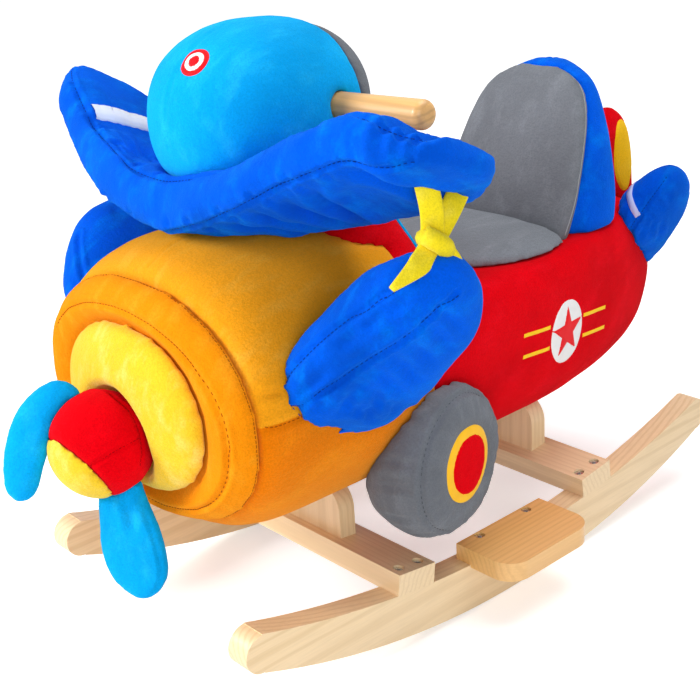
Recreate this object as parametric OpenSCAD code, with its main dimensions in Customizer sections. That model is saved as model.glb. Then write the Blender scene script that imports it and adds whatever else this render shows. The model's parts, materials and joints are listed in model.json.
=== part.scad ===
// Plush rocking airplane: a stuffed biplane with a seat, on a bolted wooden rocker base.
// The nose points to -Y, the rider's left is +X and the floor is z = 0.

/* [Rockers] */
// Length of a rocker from tip to tip
rocker_len = 616; // [580:1:660]
// Thickness of a rocker board
rocker_t = 23; // [18:0.5:28]
// Width over both rockers
base_w = 286; // [270:1:310]
// Height of a rocker at its middle
rocker_mid_h = 46; // [40:1:52]
// Radius of the edge that rolls on the floor
rocker_roll_r = 780; // [700:10:900]
// Radius of the rocker's upper edge
rocker_top_r = 950; // [900:10:1100]
// Radius of the rounded rocker tips
rocker_tip_r = 17; // [15:0.5:20]

/* [Crossbars and uprights] */
// Distance between the middles of the two crossbars
bar_pitch = 250; // [240:1:260]
// Width of a crossbar
bar_w = 43; // [38:0.5:50]
// Thickness of a crossbar
bar_t = 20; // [17:0.5:24]
// Depth of the seats that crossbars and footrests have in the rockers
seat_cut = 0.6; // [0.4:0.1:2]
// Width of the front upright
front_upright_w = 116; // [100:1:130]
// Thickness of the front upright
front_upright_t = 18; // [15:0.5:22]
// Width of the rear upright
rear_upright_w = 138; // [120:1:150]
// Thickness of the rear upright
rear_upright_t = 20; // [16:0.5:24]
// Height of the uprights' rounded shoulders above the floor
shoulder_h = 124; // [118:1:132]
// Radius of the uprights' shoulders
shoulder_r = 24; // [15:1:30]
// Width of the uprights' tongues inside the body
tongue_w = 76; // [60:1:90]

/* [Footrests] */
// Length of a footrest along the toy
foot_len = 114; // [100:1:130]
// Width of a footrest across the toy
foot_w = 66; // [56:1:80]
// Thickness of a footrest
foot_t = 18; // [14:0.5:22]
// Radius of a footrest's outer corners
foot_corner_r = 22; // [10:1:28]
// Distance by which a footrest lies over its rocker
foot_lap = 17; // [15:0.5:18]
// Distance between a footrest's two bolts
foot_bolt_pitch = 64; // [50:1:76]

/* [Fasteners] */
// Radius of a bolt's shank
bolt_r = 2.5; // [2:0.1:3]
// Radius of a bolt's head
bolt_head_r = 4.2; // [3.6:0.1:4.6]
// Radius of a counterbore
sink_r = 5; // [4.7:0.1:6]
// Depth of a counterbore
sink_depth = 7; // [6:0.5:9]
// Outer radius of a threaded insert
insert_r = 4; // [3.5:0.1:5]
// Length of a threaded insert
insert_len = 18; // [14:1:22]
// Distance between the two bolts at a crossbar's end
bar_bolt_pitch = 23; // [18:1:28]
// Radius of a wood screw
screw_r = 2; // [1.5:0.1:2.5]
// Radius of a wood screw's head
screw_head_r = 4; // [3.2:0.1:5]

/* [Inner frame and handle] */
// Width of the seat board
seat_board_w = 150; // [130:1:160]
// Thickness of the seat board
seat_board_t = 15; // [12:0.5:18]
// Depth of padding between the seat board and the seat seam
seat_padding = 33; // [28:1:40]
// Width of the console post
post_w = 64; // [56:1:76]
// Thickness of the console post
post_t = 38; // [34:0.5:42]
// Width of the backrest board
back_board_w = 100; // [80:1:110]
// Thickness of the backrest board
back_board_t = 12; // [9:0.5:15]
// Length of the backrest board
back_board_len = 145; // [120:1:155]
// Side of the square cleats
cleat = 20; // [16:1:24]
// Diameter of the handle dowel
handle_d = 23; // [20:0.5:27]
// Length of the handle dowel
handle_len = 332; // [300:1:360]
// Height of the handle above the floor
handle_h = 457; // [448:1:466]
// Place of the handle along the toy
handle_y = -114; // [-118:1:-108]
// Lean of the handle, left end up
handle_roll = 2; // [0:0.5:4]

/* [Fuselage] */
// Half width of the barrel
barrel_a = 141; // [134:1:146]
// Half height of the barrel
barrel_b = 122; // [117:1:126]
// Height of the barrel's axis
barrel_h = 245; // [241:1:249]
// Place of the seam between barrel and nose ring
nose_seam_y = -271; // [-278:1:-264]
// Place of the seam between barrel and tail
tail_seam_y = -82; // [-90:1:-74]
// Place of the tail's end
tail_end_y = 360; // [350:1:372]
// Height of the tail's end
tail_end_h = 226; // [216:1:236]
// Height of the seat seam
seat_h = 288; // [282:1:294]
// Depth of the nose ring
ring_depth = 24; // [20:1:28]
// Half width of the nose dome
dome_a = 92; // [84:1:98]
// Half height of the nose dome
dome_b = 70; // [64:1:76]
// Bulge of the nose dome
dome_bulge = 30; // [24:1:36]

/* [Propeller] */
// Radius of the hub ball
hub_r = 42.5; // [39:0.5:46]
// Distance of the hub's middle in front of the nose seam
hub_reach = 54; // [50:1:60]
// Height of the hub's middle
hub_h = 221; // [216:1:226]
// Angle by which the propeller's axis droops
droop = 12; // [8:1:16]
// Angle by which the hub's yellow cap looks down
cap_droop = 30; // [24:1:36]
// Share of the hub's radius at which the cap starts
cap_share = 0.6; // [0.5:0.05:0.75]
// Radius of the swivel stem
stem_r = 4; // [3:0.5:5]
// Length of a blade
blade_len = 88; // [80:1:100]
// Width of a blade
blade_w = 54; // [44:1:60]
// Thickness of a blade
blade_t = 19; // [14:1:24]

/* [Console and cockpit] */
// Half width of the console
console_a = 75; // [68:1:82]
// Half height of the console
console_b = 74; // [68:1:78]
// Drop of the console's middle below the handle
console_drop = 5; // [0:1:10]
// Place of the console's front
console_front_y = -233; // [-240:1:-226]
// Place of the console's rear
console_rear_y = -54; // [-60:1:-48]
// Lean of the seam round the console's grey panel
panel_lean = 9; // [4:1:16]
// Depth of the console's grey panel at its middle
panel_depth = 28; // [22:1:34]
// Half width of the cockpit front at the seat
cowl_a = 101; // [94:1:106]
// Radius of the round badge on the console
badge_r = 13; // [9:0.5:16]

/* [Upper wing] */
// Reach of the upper wing to its left tip
wing_reach_left = 246; // [234:1:256]
// Reach of the upper wing to its right tip, which is turned up further
wing_reach_right = 212; // [202:1:222]
// Chord of the upper wing at its middle
wing_root_chord = 142; // [130:1:150]
// Chord of the upper wing near its tips
wing_tip_chord = 104; // [90:1:115]
// Thickness of the upper wing
wing_t = 40; // [34:1:44]
// Height of the leading edge at the middle
wing_h = 399; // [394:1:404]
// Place of the leading edge at the middle
wing_le_y = -248; // [-256:1:-240]
// Distance by which the tips are swept back
wing_sweep = 44; // [36:1:56]
// Rise of the left tip
wing_rise_left = 71; // [62:1:80]
// Rise of the right tip
wing_rise_right = 86; // [76:1:94]
// Nose-up pitch of the left tip
wing_pitch_left = 24; // [18:1:28]
// Nose-up pitch of the right tip
wing_pitch_right = 27; // [20:1:32]
// Nose-up pitch at the middle
wing_pitch_root = 12; // [9:1:15]

/* [Lower wings and ties] */
// Reach of the left lower wing out from the toy's middle
low_wing_reach = 231; // [222:1:240]
// Reach of the right lower wing, which hangs lower
low_wing_reach_right = 219; // [211:1:227]
// Height of the left lower wing's tip
low_wing_tip_h = 368; // [360:1:374]
// Height of the right lower wing's tip
low_wing_tip_h_right = 340; // [332:1:346]
// Height of a lower wing's root
low_wing_root_h = 222; // [214:1:230]
// Chord of a lower wing
low_wing_chord = 122; // [108:1:132]
// Thickness of a lower wing
low_wing_t = 54; // [44:1:60]
// Nose-up pitch of the left lower wing
low_wing_pitch = 36; // [30:1:42]
// Nose-down pitch of the right lower wing
low_wing_pitch_right = 14; // [8:1:20]
// Width of a tie's strap
tie_w = 18; // [14:1:22]
// Thickness of a tie's strap
tie_t = 6; // [4:0.5:8]

/* [Seat and backrest] */
// Half width of the seat pad
seat_a = 99; // [92:1:104]
// Crown of the seat pad
seat_crown = 16; // [12:1:20]
// Half width of the backrest shell
back_a = 84; // [78:1:90]
// Depth of the backrest shell at its foot
back_depth = 92; // [84:1:98]
// Height of the backrest's top
back_top_h = 441; // [430:1:455]
// Place of the backrest shell's middle at the seat
back_y = 181; // [176:1:186]
// Lean of the backrest
back_lean = 20; // [17:1:23]
// Thickness of the backrest pad
back_pad_t = 32; // [26:1:38]

/* [Tail] */
// Height of the fin's top
fin_top_h = 377; // [365:1:390]
// Chord of the fin at its foot
fin_chord = 124; // [110:1:136]
// Thickness of the fin
fin_t = 46; // [38:1:52]
// Reach of a tailplane out from the toy's middle
tailplane_reach = 105; // [97:1:113]
// Chord of a tailplane
tailplane_chord = 90; // [82:1:98]
// Thickness of a tailplane
tailplane_t = 45; // [38:1:50]
// Height of a tailplane's tip
tailplane_tip_h = 326; // [318:1:334]

/* [Wheels] */
// Diameter of a stuffed wheel
wheel_d = 137; // [128:1:146]
// Width of a stuffed wheel
wheel_w = 70; // [62:1:76]
// Place of the wheels along the toy
wheel_y = -88; // [-95:1:-80]
// Height of the wheels' middle
wheel_h = 160; // [154:1:166]
// Toe of the wheels
wheel_toe = 12; // [8:1:15]
// Diameter of the yellow hub ring
hub_ring_d = 69; // [60:1:76]
// Diameter of the red hub disc
hub_disc_d = 55; // [46:1:58]
// Thickness of the hub ring and disc
hub_felt_t = 3; // [2:0.5:4]

/* [Side markings] */
// Radius of the round patch on the tail's side
roundel_r = 32; // [28:0.5:36]
// Outer radius of the star on the patch
star_r = 27; // [20:0.5:27]
// Width of a side stripe
stripe_w = 5; // [3:0.5:8]
// Distance between the two side stripes
stripe_pitch = 21; // [16:0.5:26]
// Length of the stripes over the patch
stripe_len = 150; // [120:1:156]
// Thickness of a sewn-on patch
patch_t = 1.5; // [1:0.25:2.5]

/* [Hidden] */
$fn = 64;

wood = "BurlyWood";
wood_dark = "Tan";
steel = "LightSteelBlue";
orange = [0.96, 0.62, 0.1];
yellow = [1, 0.87, 0.2];
red = [0.9, 0.02, 0.08];
royal = [0.02, 0.33, 0.93];
sky = [0.1, 0.7, 1];
grey = [0.5, 0.52, 0.55];

// Clearance of a bolt or a screw in wood, and of a turning stem in its bush
slack = 0.25;
running = 0.05;
// Gap between the turning propeller and the nose
turn_gap = 0.6;

half_w = base_w / 2;
rocker_x = half_w - rocker_t / 2;
tip_y = rocker_len / 2 - rocker_tip_r;
bar_y = bar_pitch / 2;
bar_tilt = asin(bar_y / rocker_top_r);
foot_x = half_w - foot_lap;

function roll_z(y) = rocker_roll_r - sqrt(pow(rocker_roll_r, 2) - pow(y, 2));
function upper_z(y) = rocker_mid_h + rocker_top_r - sqrt(pow(rocker_top_r, 2) - pow(y, 2));
tip_z = (roll_z(tip_y) + upper_z(tip_y)) / 2;
bar_z = upper_z(bar_y);
foot_z = rocker_mid_h - seat_cut;

board_top = seat_h - seat_padding;
board_bottom = board_top - seat_board_t;
board_front = -bar_y - front_upright_t / 2 - 5;
board_rear = back_y + 12;
post_top = handle_h + handle_d / 2 + 14;
console_h = handle_h - console_drop;

// Rings of a stuffed form: a row holds a centre, a half-width vector, a half-height vector and a squareness

function bulge(c, n) = sign(c) * pow(abs(c), 2 / n);
function smooth_row(rows, t) =
    let (
        i = min(floor(t), len(rows) - 2),
        u = t - i,
        p1 = rows[i],
        p2 = rows[i + 1],
        p0 = i > 0 ? rows[i - 1] : 2 * p1 - p2,
        p3 = i + 2 < len(rows) ? rows[i + 2] : 2 * p2 - p1
    )
    (2 * p1 + (p2 - p0) * u + (2 * p0 - 5 * p1 + 4 * p2 - p3) * u * u
        + (3 * p1 - p0 - 3 * p2 + p3) * u * u * u) / 2;
function part_of(row, i) = [row[i], row[i + 1], row[i + 2]];
function ring_point(row, a, grow = 0) =
    let (u = part_of(row, 3), v = part_of(row, 6))
    part_of(row, 0) + (u + grow * u / max(norm(u), 0.01)) * bulge(cos(a), row[9])
        + (v + grow * v / max(norm(v), 0.01)) * bulge(sin(a), row[9]);
function ring(row, sides, grow = 0) = [for (k = [0 : sides - 1]) ring_point(row, 360 * k / sides, grow)];
function resampled(rows, steps) =
    let (n = (len(rows) - 1) * steps)
    [for (i = [0 : n]) smooth_row(rows, i / steps)];
function side_faces(n, sides, flip) = [
    for (i = [0 : n - 2], k = [0 : sides - 1])
        let (a = i * sides + k, b = i * sides + (k + 1) % sides, c = a + sides, d = b + sides)
        each flip ? [[a, b, c], [b, d, c]] : [[a, c, b], [b, c, d]]
];
function cap_faces(first, middle, sides, flip) = [
    for (k = [0 : sides - 1])
        let (a = first + k, b = first + (k + 1) % sides)
        flip ? [middle, b, a] : [middle, a, b]
];
function runs_backwards(rows) =
    let (m = rows[floor(len(rows) / 2)])
    cross(part_of(m, 3), part_of(m, 6)) * (part_of(rows[len(rows) - 1], 0) - part_of(rows[0], 0)) < 0;

module stuffed(rows, steps = 2, sides = 24, grow = 0) {
    fine = resampled(rows, steps);
    n = len(fine);
    flip = runs_backwards(rows);
    points = [
        for (r = fine) each ring(r, sides, grow),
        part_of(fine[0], 0),
        part_of(fine[n - 1], 0)
    ];
    faces = concat(
        side_faces(n, sides, flip),
        cap_faces(0, n * sides, sides, flip),
        cap_faces((n - 1) * sides, n * sides + 1, sides, !flip)
    );
    polyhedron(points, faces, convexity = 4);
}

// A sewn-on patch: the grown form cut to a side view outline, less the form under it

module side_outline(outline) {
    rotate([90, 0, 90]) translate([0, 0, -base_w]) linear_extrude(2 * base_w) polygon(outline);
}

module both_sides() {
    children();
    mirror([1, 0, 0]) children();
}

// Wooden base

module rocker_profile() {
    intersection() {
        difference() {
            translate([0, rocker_roll_r]) circle(rocker_roll_r, $fn = 360);
            translate([0, rocker_mid_h + rocker_top_r]) circle(rocker_top_r, $fn = 360);
        }
        translate([-tip_y, 0]) square([2 * tip_y, rocker_len / 2]);
    }
    for (s = [-1, 1]) translate([s * tip_y, tip_z]) circle(rocker_tip_r);
}
module at_bar(s) {
    translate([0, s * bar_y, bar_z]) rotate([s * bar_tilt, 0, 0]) translate([0, 0, -seat_cut]) children();
}
module at_bar_bolts(s) {
    at_bar(s) for (x = [-1, 1], y = [-1, 1]) translate([x * rocker_x, y * bar_bolt_pitch / 2, 0]) children();
}
module at_foot_bolts(x) {
    for (y = [-1, 1]) translate([x * rocker_x, y * foot_bolt_pitch / 2, foot_z]) children();
}
module bar_blank(s) {
    at_bar(s) translate([-half_w, -bar_w / 2, 0]) cube([base_w, bar_w, bar_t]);
}
module foot_blank() {
    r = foot_corner_r;
    translate([foot_x, 0, foot_z]) linear_extrude(foot_t) {
        translate([0, -foot_len / 2]) square([foot_w - r, foot_len]);
        translate([0, r - foot_len / 2]) square([foot_w, foot_len - 2 * r]);
        for (y = [-1, 1]) translate([foot_w - r, y * (foot_len / 2 - r)]) circle(r);
    }
}
module insert_hole() {
    translate([0, 0, -insert_len - 6]) cylinder(r = insert_r, h = insert_len + 6);
}
module rocker(x) {
    color(wood) difference() {
        translate([x * rocker_x - rocker_t / 2, 0, 0]) rotate([90, 0, 90])
            linear_extrude(rocker_t) rocker_profile();
        for (s = [-1, 1]) bar_blank(s);
        for (s = [-1, 1]) at_bar_bolts(s) insert_hole();
        both_sides() foot_blank();
        at_foot_bolts(x) insert_hole();
    }
}
module rocker_left() { rocker(1); }
module rocker_right() { rocker(-1); }

module counterbored(t) {
    cylinder(r = bolt_r + slack, h = t);
    translate([0, 0, t - sink_depth]) cylinder(r = sink_r, h = sink_depth);
}
module bolt(t) {
    translate([0, 0, -insert_len - 2]) cylinder(r = bolt_r, h = insert_len + 2 + t - sink_depth);
    translate([0, 0, t - sink_depth]) difference() {
        cylinder(r = bolt_head_r, h = sink_depth - 2);
        translate([0, 0, sink_depth - 4.5]) cylinder(r = bolt_r * 0.9, h = 2.5, $fn = 6);
    }
}
module insert() {
    translate([0, 0, -insert_len]) difference() {
        cylinder(r = insert_r, h = insert_len);
        cylinder(r = bolt_r + running, h = insert_len);
    }
}

// Screw from below, up through a crossbar into its upright
screw_pitch = tongue_w / 2;
upright_screw_len = bar_t + 28;
module upright_screw_places(s) {
    at_bar(s) for (x = [-1, 1]) translate([x * screw_pitch / 2, 0, 0]) children();
}
module up_screw() {
    cylinder(r = screw_r, h = upright_screw_len);
    cylinder(r = screw_head_r, h = 3);
}
module crossbar(s) {
    color(wood) difference() {
        bar_blank(s);
        at_bar_bolts(s) counterbored(bar_t);
        upright_screw_places(s) up_screw();
    }
}
module front_crossbar() { crossbar(-1); }
module rear_crossbar() { crossbar(1); }

module upright_blank(s, w, t) {
    difference() {
        translate([0, s * bar_y + t / 2, 0]) rotate([90, 0, 0]) linear_extrude(t) {
            translate([-w / 2, 0]) square([w, shoulder_h - shoulder_r]);
            translate([shoulder_r - w / 2, 0]) square([w - 2 * shoulder_r, shoulder_h]);
            for (x = [-1, 1])
                translate([x * (w / 2 - shoulder_r), shoulder_h - shoulder_r]) circle(shoulder_r);
            translate([-tongue_w / 2, 0]) square([tongue_w, board_bottom]);
        }
        bar_blank(s);
        at_bar(s) translate([-half_w, -base_w / 2, -base_w]) cube([base_w, base_w, base_w + bar_t / 2]);
    }
}
module front_upright_blank() { upright_blank(-1, front_upright_w, front_upright_t); }
module rear_upright_blank() { upright_blank(1, rear_upright_w, rear_upright_t); }
module front_upright() {
    color(wood) difference() {
        front_upright_blank();
        upright_screw_places(-1) up_screw();
        board_screws();
    }
}
module rear_upright() {
    color(wood) difference() {
        rear_upright_blank();
        upright_screw_places(1) up_screw();
        board_screws();
    }
}

module footrest(x) {
    color(wood_dark) difference() {
        mirror([x < 0 ? 1 : 0, 0, 0]) foot_blank();
        at_foot_bolts(x) counterbored(foot_t);
    }
}
module footrest_left() { footrest(1); }
module footrest_right() { footrest(-1); }
module crossbar_bolts() { color(steel) for (s = [-1, 1]) at_bar_bolts(s) bolt(bar_t); }
module footrest_bolts() { color(steel) for (x = [-1, 1]) at_foot_bolts(x) bolt(foot_t); }
module threaded_inserts() {
    color("DarkGoldenrod") {
        for (s = [-1, 1]) at_bar_bolts(s) insert();
        for (x = [-1, 1]) at_foot_bolts(x) insert();
    }
}
module upright_screws() { color(steel) for (s = [-1, 1]) upright_screw_places(s) up_screw(); }

// Inner wooden frame

board_screw_len = seat_board_t + 26;
module board_screws() {
    for (s = [-1, 1], x = [-1, 1])
        translate([x * screw_pitch / 2, s * bar_y, board_top]) rotate([180, 0, 0]) {
            cylinder(r = screw_r, h = board_screw_len);
            cylinder(r = screw_head_r, h = 3);
        }
}
module cleat_screws() {
    for (x = [-1, 1]) {
        translate([x * post_w / 4, handle_y + post_t / 2 + cleat, board_top + cleat / 2]) rotate([90, 0, 0])
            cylinder(r = screw_r, h = cleat + post_t - 4);
        translate([x * post_w / 4, handle_y + post_t / 2 + cleat / 2, board_bottom])
            cylinder(r = screw_r, h = seat_board_t + cleat / 2 - screw_r - 1);
        translate([x * back_board_w / 3, back_y - back_board_t - cleat / 2, board_bottom])
            cylinder(r = screw_r, h = seat_board_t + cleat - 4);
    }
}
module seat_board_blank() {
    translate([-seat_board_w / 2, board_front, board_bottom])
        cube([seat_board_w, board_rear - board_front, seat_board_t]);
}
module seat_board() {
    color(wood) difference() {
        seat_board_blank();
        board_screws();
        cleat_screws();
    }
}
module post_blank() {
    translate([-post_w / 2, handle_y - post_t / 2, board_top]) cube([post_w, post_t, post_top - board_top]);
}
module at_handle() {
    translate([0, handle_y, handle_h]) rotate([0, 90 - handle_roll, 0]) children();
}
module handle_axis(r, len) {
    at_handle() translate([0, 0, -len / 2]) cylinder(r = r, h = len);
}
module console_post() {
    color(wood) difference() {
        post_blank();
        handle_axis(handle_d / 2 + running, base_w);
        handle_screw_blank();
        cleat_screws();
    }
}
module post_cleat_blank() {
    translate([-post_w / 2, handle_y + post_t / 2, board_top]) cube([post_w, cleat, cleat]);
}
module post_cleat() {
    color(wood) difference() {
        post_cleat_blank();
        cleat_screws();
    }
}
module backrest_board() {
    color(wood) difference() {
        translate([0, back_y, board_top]) rotate([-back_lean, 0, 0])
            translate([-back_board_w / 2, -back_board_t / 2, -back_board_t])
            cube([back_board_w, back_board_t, back_board_len + back_board_t]);
        translate([-base_w / 2, 0, board_top - base_w]) cube([base_w, base_w, base_w]);
    }
}
back_cleat_len = back_board_w - 12;
module backrest_cleat_blank() {
    difference() {
        translate([-back_cleat_len / 2, back_y - back_board_t - cleat, board_top])
            cube([back_cleat_len, cleat + back_board_t, cleat]);
        translate([0, back_y, board_top]) rotate([-back_lean, 0, 0])
            translate([-back_board_w, -back_board_t / 2, -back_board_len])
            cube([2 * back_board_w, base_w, 2 * back_board_len]);
    }
}
module backrest_cleat() {
    color(wood) difference() {
        backrest_cleat_blank();
        cleat_screws();
    }
}
module frame_screws() {
    color(steel) {
        board_screws();
        cleat_screws();
    }
}
module handle_screw_blank() {
    translate([0, handle_y + post_t / 2, handle_h]) rotate([90, 0, 0]) cylinder(r = screw_r, h = post_t - 3);
}
handle_round = 7;
module handle_bar() {
    r = handle_d / 2;
    color(wood) difference() {
        at_handle() translate([0, 0, -handle_len / 2]) rotate_extrude() {
            square([r - handle_round, handle_len]);
            translate([0, handle_round]) square([r, handle_len - 2 * handle_round]);
            for (z = [handle_round, handle_len - handle_round]) intersection() {
                translate([r - handle_round, z]) circle(handle_round);
                square([r, handle_len]);
            }
        }
        handle_screw_blank();
    }
}
module handle_screw() { color(steel) handle_screw_blank(); }
module frame_blank() {
    front_upright_blank();
    rear_upright_blank();
    seat_board_blank();
    post_blank();
    post_cleat_blank();
    backrest_cleat_blank();
    backrest_board();
}

// Stuffed fuselage

function barrel_row(y, a, b, z, n = 2.15) = [0, y, z, a, 0, 0, 0, 0, b, n];
nose_rows = [
    barrel_row(nose_seam_y, barrel_a - 2, barrel_b - 22, barrel_h),
    barrel_row(nose_seam_y + 12, barrel_a + 1, barrel_b - 11, barrel_h),
    barrel_row(nose_seam_y + 42, barrel_a + 2, barrel_b, barrel_h),
    barrel_row((nose_seam_y + tail_seam_y) / 2 + 10, barrel_a, barrel_b + 2, barrel_h - 1),
    barrel_row(tail_seam_y - 34, barrel_a - 2, barrel_b + 1, barrel_h - 3),
    barrel_row(tail_seam_y, barrel_a - 6, barrel_b - 2, barrel_h - 5)
];
tail_rows = [
    barrel_row(tail_seam_y, barrel_a - 6, barrel_b - 2, barrel_h - 5),
    barrel_row(tail_seam_y * 0.4, barrel_a - 11, barrel_b - 6, barrel_h - 9, 2.4),
    barrel_row(tail_end_y * 0.12, barrel_a - 19, barrel_b - 10, barrel_h - 15, 2.7),
    barrel_row(tail_end_y * 0.4, barrel_a - 31, barrel_b - 15, barrel_h - 21, 2.9),
    barrel_row(tail_end_y * 0.64, barrel_a - 48, barrel_b - 27, barrel_h - 25, 2.9),
    barrel_row(tail_end_y * 0.83, barrel_a - 72, barrel_b - 41, barrel_h - 30, 2.6),
    barrel_row(tail_end_y * 0.95, barrel_a - 99, barrel_b - 72, tail_end_h - 10),
    barrel_row(tail_end_y, 13, 13, tail_end_h)
];
module nose_form() { stuffed(nose_rows, 2, 28); }
module tail_form() { stuffed(tail_rows, 2, 28); }
module nose_section() {
    color(orange) difference() {
        nose_form();
        frame_blank();
        swivel_space();
    }
}
module tail_section() {
    color(red) difference() {
        tail_form();
        translate([-base_w, tail_seam_y - base_w, seat_h]) cube([2 * base_w, 4 * base_w, base_w]);
        frame_blank();
    }
}

ring_front_y = nose_seam_y - ring_depth;
dome_seam_y = ring_front_y + 9;
ring_rows = [
    barrel_row(nose_seam_y, barrel_a - 2, barrel_b - 22, barrel_h),
    barrel_row(nose_seam_y - ring_depth * 0.45, barrel_a - 7, barrel_b - 26, barrel_h),
    barrel_row(nose_seam_y - ring_depth * 0.85, barrel_a - 18, barrel_b - 34, barrel_h - 1),
    barrel_row(ring_front_y, barrel_a - 30, barrel_b - 42, barrel_h - 2),
    barrel_row(ring_front_y + 4, dome_a + 9, dome_b + 5, barrel_h - 3),
    barrel_row(dome_seam_y, dome_a, dome_b, barrel_h - 3)
];
dome_rows = [
    for (p = [[0, 1], [0.3, 0.95], [0.65, 0.76], [0.93, 0.37], [1, 0.06]])
        barrel_row(dome_seam_y - dome_bulge * p[0], dome_a * p[1], dome_b * p[1], barrel_h - 3)
];

// Propeller and its swivel: local +Z runs forward along the propeller's axis from the hub's middle

hub_y = nose_seam_y - hub_reach;
bush_r = 13;
bush_start = hub_r + 3;
bush_len = 24;
washer_r = 12;
washer_t = 3;
stem_back = bush_start + bush_len + washer_t + 6;
washer_space = washer_t + 10;
module at_hub() {
    translate([0, hub_y, hub_h]) rotate([90 + droop, 0, 0]) children();
}
module swivel_space() {
    at_hub() translate([0, 0, -bush_start - bush_len]) {
        cylinder(r = bush_r, h = bush_len);
        translate([0, 0, -washer_space]) cylinder(r = bush_r + turn_gap, h = washer_space);
    }
}
module hub_space() {
    at_hub() sphere(hub_r + turn_gap);
    at_hub() translate([0, 0, -bush_start]) cylinder(r = bush_r, h = bush_start);
}
module nose_ring() {
    color(orange) difference() {
        stuffed(ring_rows, 2, 28);
        swivel_space();
        hub_space();
    }
}
module nose_dome() {
    color(yellow) difference() {
        stuffed(dome_rows, 2, 28);
        swivel_space();
        hub_space();
    }
}
module swivel_bush() {
    color("Gainsboro") at_hub() translate([0, 0, -bush_start - bush_len]) difference() {
        cylinder(r = bush_r, h = bush_len);
        cylinder(r = stem_r + running, h = bush_len);
    }
}
stem_seat = hub_r * 0.5;
module stem_blank() {
    translate([0, 0, -stem_back]) cylinder(r = stem_r, h = stem_back);
    translate([0, 0, -stem_seat]) cylinder(r = stem_r * 3, h = 4);
    translate([0, 0, -bush_start + turn_gap]) cylinder(r = stem_r * 2, h = bush_start - hub_r - turn_gap + 3);
}
module swivel_stem() { color("Gainsboro") at_hub() stem_blank(); }
module swivel_washer() {
    color("Silver") at_hub() translate([0, 0, -bush_start - bush_len - washer_t - turn_gap]) difference() {
        cylinder(r = washer_r, h = washer_t);
        cylinder(r = stem_r, h = washer_t);
    }
}
module cap_side() {
    rotate([cap_droop - droop, 0, 0]) translate([-hub_r - 1, -hub_r - 1, hub_r * cap_share])
        cube(2 * hub_r + 2);
}
module propeller_hub() {
    color(red) at_hub() difference() {
        sphere(hub_r);
        cap_side();
        stem_blank();
    }
}
module spinner_cap() {
    color(yellow) at_hub() intersection() {
        sphere(hub_r);
        cap_side();
    }
}
function blade_row(c, wide, thick, share) =
    concat(c, wide * share, thick * (0.35 + 0.65 * share), [2.3]);
blade_side = blade_w / 2 * [0.8, 0.6, 0];
blade_face = blade_t / 2 * [0.6, -0.8, 0];
hub_mid = [0, hub_y, hub_h];
lower_root = [0.42, 0.03, -0.86];
lower_dir = [0.264, -0.07, -0.962];
lower_rows = [
    for (p = [[-0.28, 0.55], [0.05, 0.72], [0.35, 0.93], [0.62, 1], [0.82, 0.84], [0.95, 0.48], [1, 0.12]])
        blade_row(hub_mid + lower_root * hub_r + lower_dir * blade_len * p[0], blade_side, blade_face, p[1])
];
// The upper blade flops forward: a row has a place in hub radii, two directions and a share of the width
upper_bend = [
    [[-0.36, -0.03, 0.64], [0.46, -0.01, -0.89], [0.7, -0.61, 0.37], 0.35],
    [[-0.61, -0.19, 0.85], [0.46, -0.01, -0.89], [0.7, -0.61, 0.37], 0.43],
    [[-0.72, -0.5, 0.8], [0.6, 0.22, -0.77], [0.7, -0.61, 0.37], 0.56],
    [[-0.75, -0.82, 0.57], [0.7, 0.48, -0.52], [0.7, -0.61, 0.37], 0.6],
    [[-0.73, -1.06, 0.26], [0.71, 0.61, -0.34], [0.7, -0.61, 0.37], 0.585],
    [[-0.67, -1.27, -0.08], [0.7, 0.68, -0.21], [0.7, -0.61, 0.37], 0.555],
    [[-0.61, -1.4, -0.42], [0.69, 0.71, -0.12], [0.7, -0.61, 0.37], 0.495],
    [[-0.55, -1.49, -0.66], [0.67, 0.74, -0.06], [0.7, -0.61, 0.37], 0.33],
    [[-0.53, -1.52, -0.76], [0.67, 0.74, -0.06], [0.7, -0.61, 0.37], 0.12]
];
upper_rows = [
    for (b = upper_bend)
        blade_row(hub_mid + b[0] * hub_r, b[1] * blade_w / 2, b[2] * blade_t / 2, b[3])
];
module propeller_blade(rows) {
    color(sky) difference() {
        stuffed(rows, 2, 12);
        at_hub() sphere(hub_r);
    }
}
module propeller_blade_lower() { propeller_blade(lower_rows); }
module propeller_blade_upper() { propeller_blade(upper_rows); }

// Cockpit front and console

cowl_tuck = 56;
cowl_rise = console_h - cowl_tuck - seat_h;
cowl_top_y = handle_y + 14;
cowl_lean = 36;
cowl_depth = 118;
// A row has shares of the rise, the lean, the half width and the depth
cowl_rows = [
    for (p = [[-0.055, 1, 1, 1], [0.296, 0.6, 0.86, 0.885], [0.611, 0.25, 0.76, 0.77],
        [0.87, 0.05, 0.68, 0.635], [1, 0, 0.6, 0.54]])
        [0, cowl_top_y + cowl_lean * p[1], seat_h + cowl_rise * p[0],
            cowl_a * p[2], 0, 0, 0, cowl_depth / 2 * p[3], 0, 3]
];
module cowl_form() { stuffed(cowl_rows, 2, 24); }
module cockpit_front() {
    color(red) difference() {
        cowl_form();
        nose_form();
        console_form();
        frame_blank();
        translate([-base_w, -base_w, 0]) cube([2 * base_w, 2 * base_w, seat_h]);
    }
}
console_len = console_rear_y - console_front_y;
console_rows = [
    for (p = [[0, 0.12], [0.04, 0.45], [0.15, 0.78], [0.35, 0.98], [0.57, 1], [0.79, 0.9], [0.94, 0.68],
        [1, 0.46]])
        barrel_row(console_front_y + console_len * p[0], console_a * p[1], console_b * p[1], console_h, 2.2)
];
module console_form() { stuffed(console_rows, 2, 24); }
module panel_side() {
    translate([0, console_rear_y - panel_depth, console_h]) rotate([panel_lean, 0, 0])
        translate([-base_w / 2, 0, -base_w / 2]) cube([base_w, base_w, base_w]);
}
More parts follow.
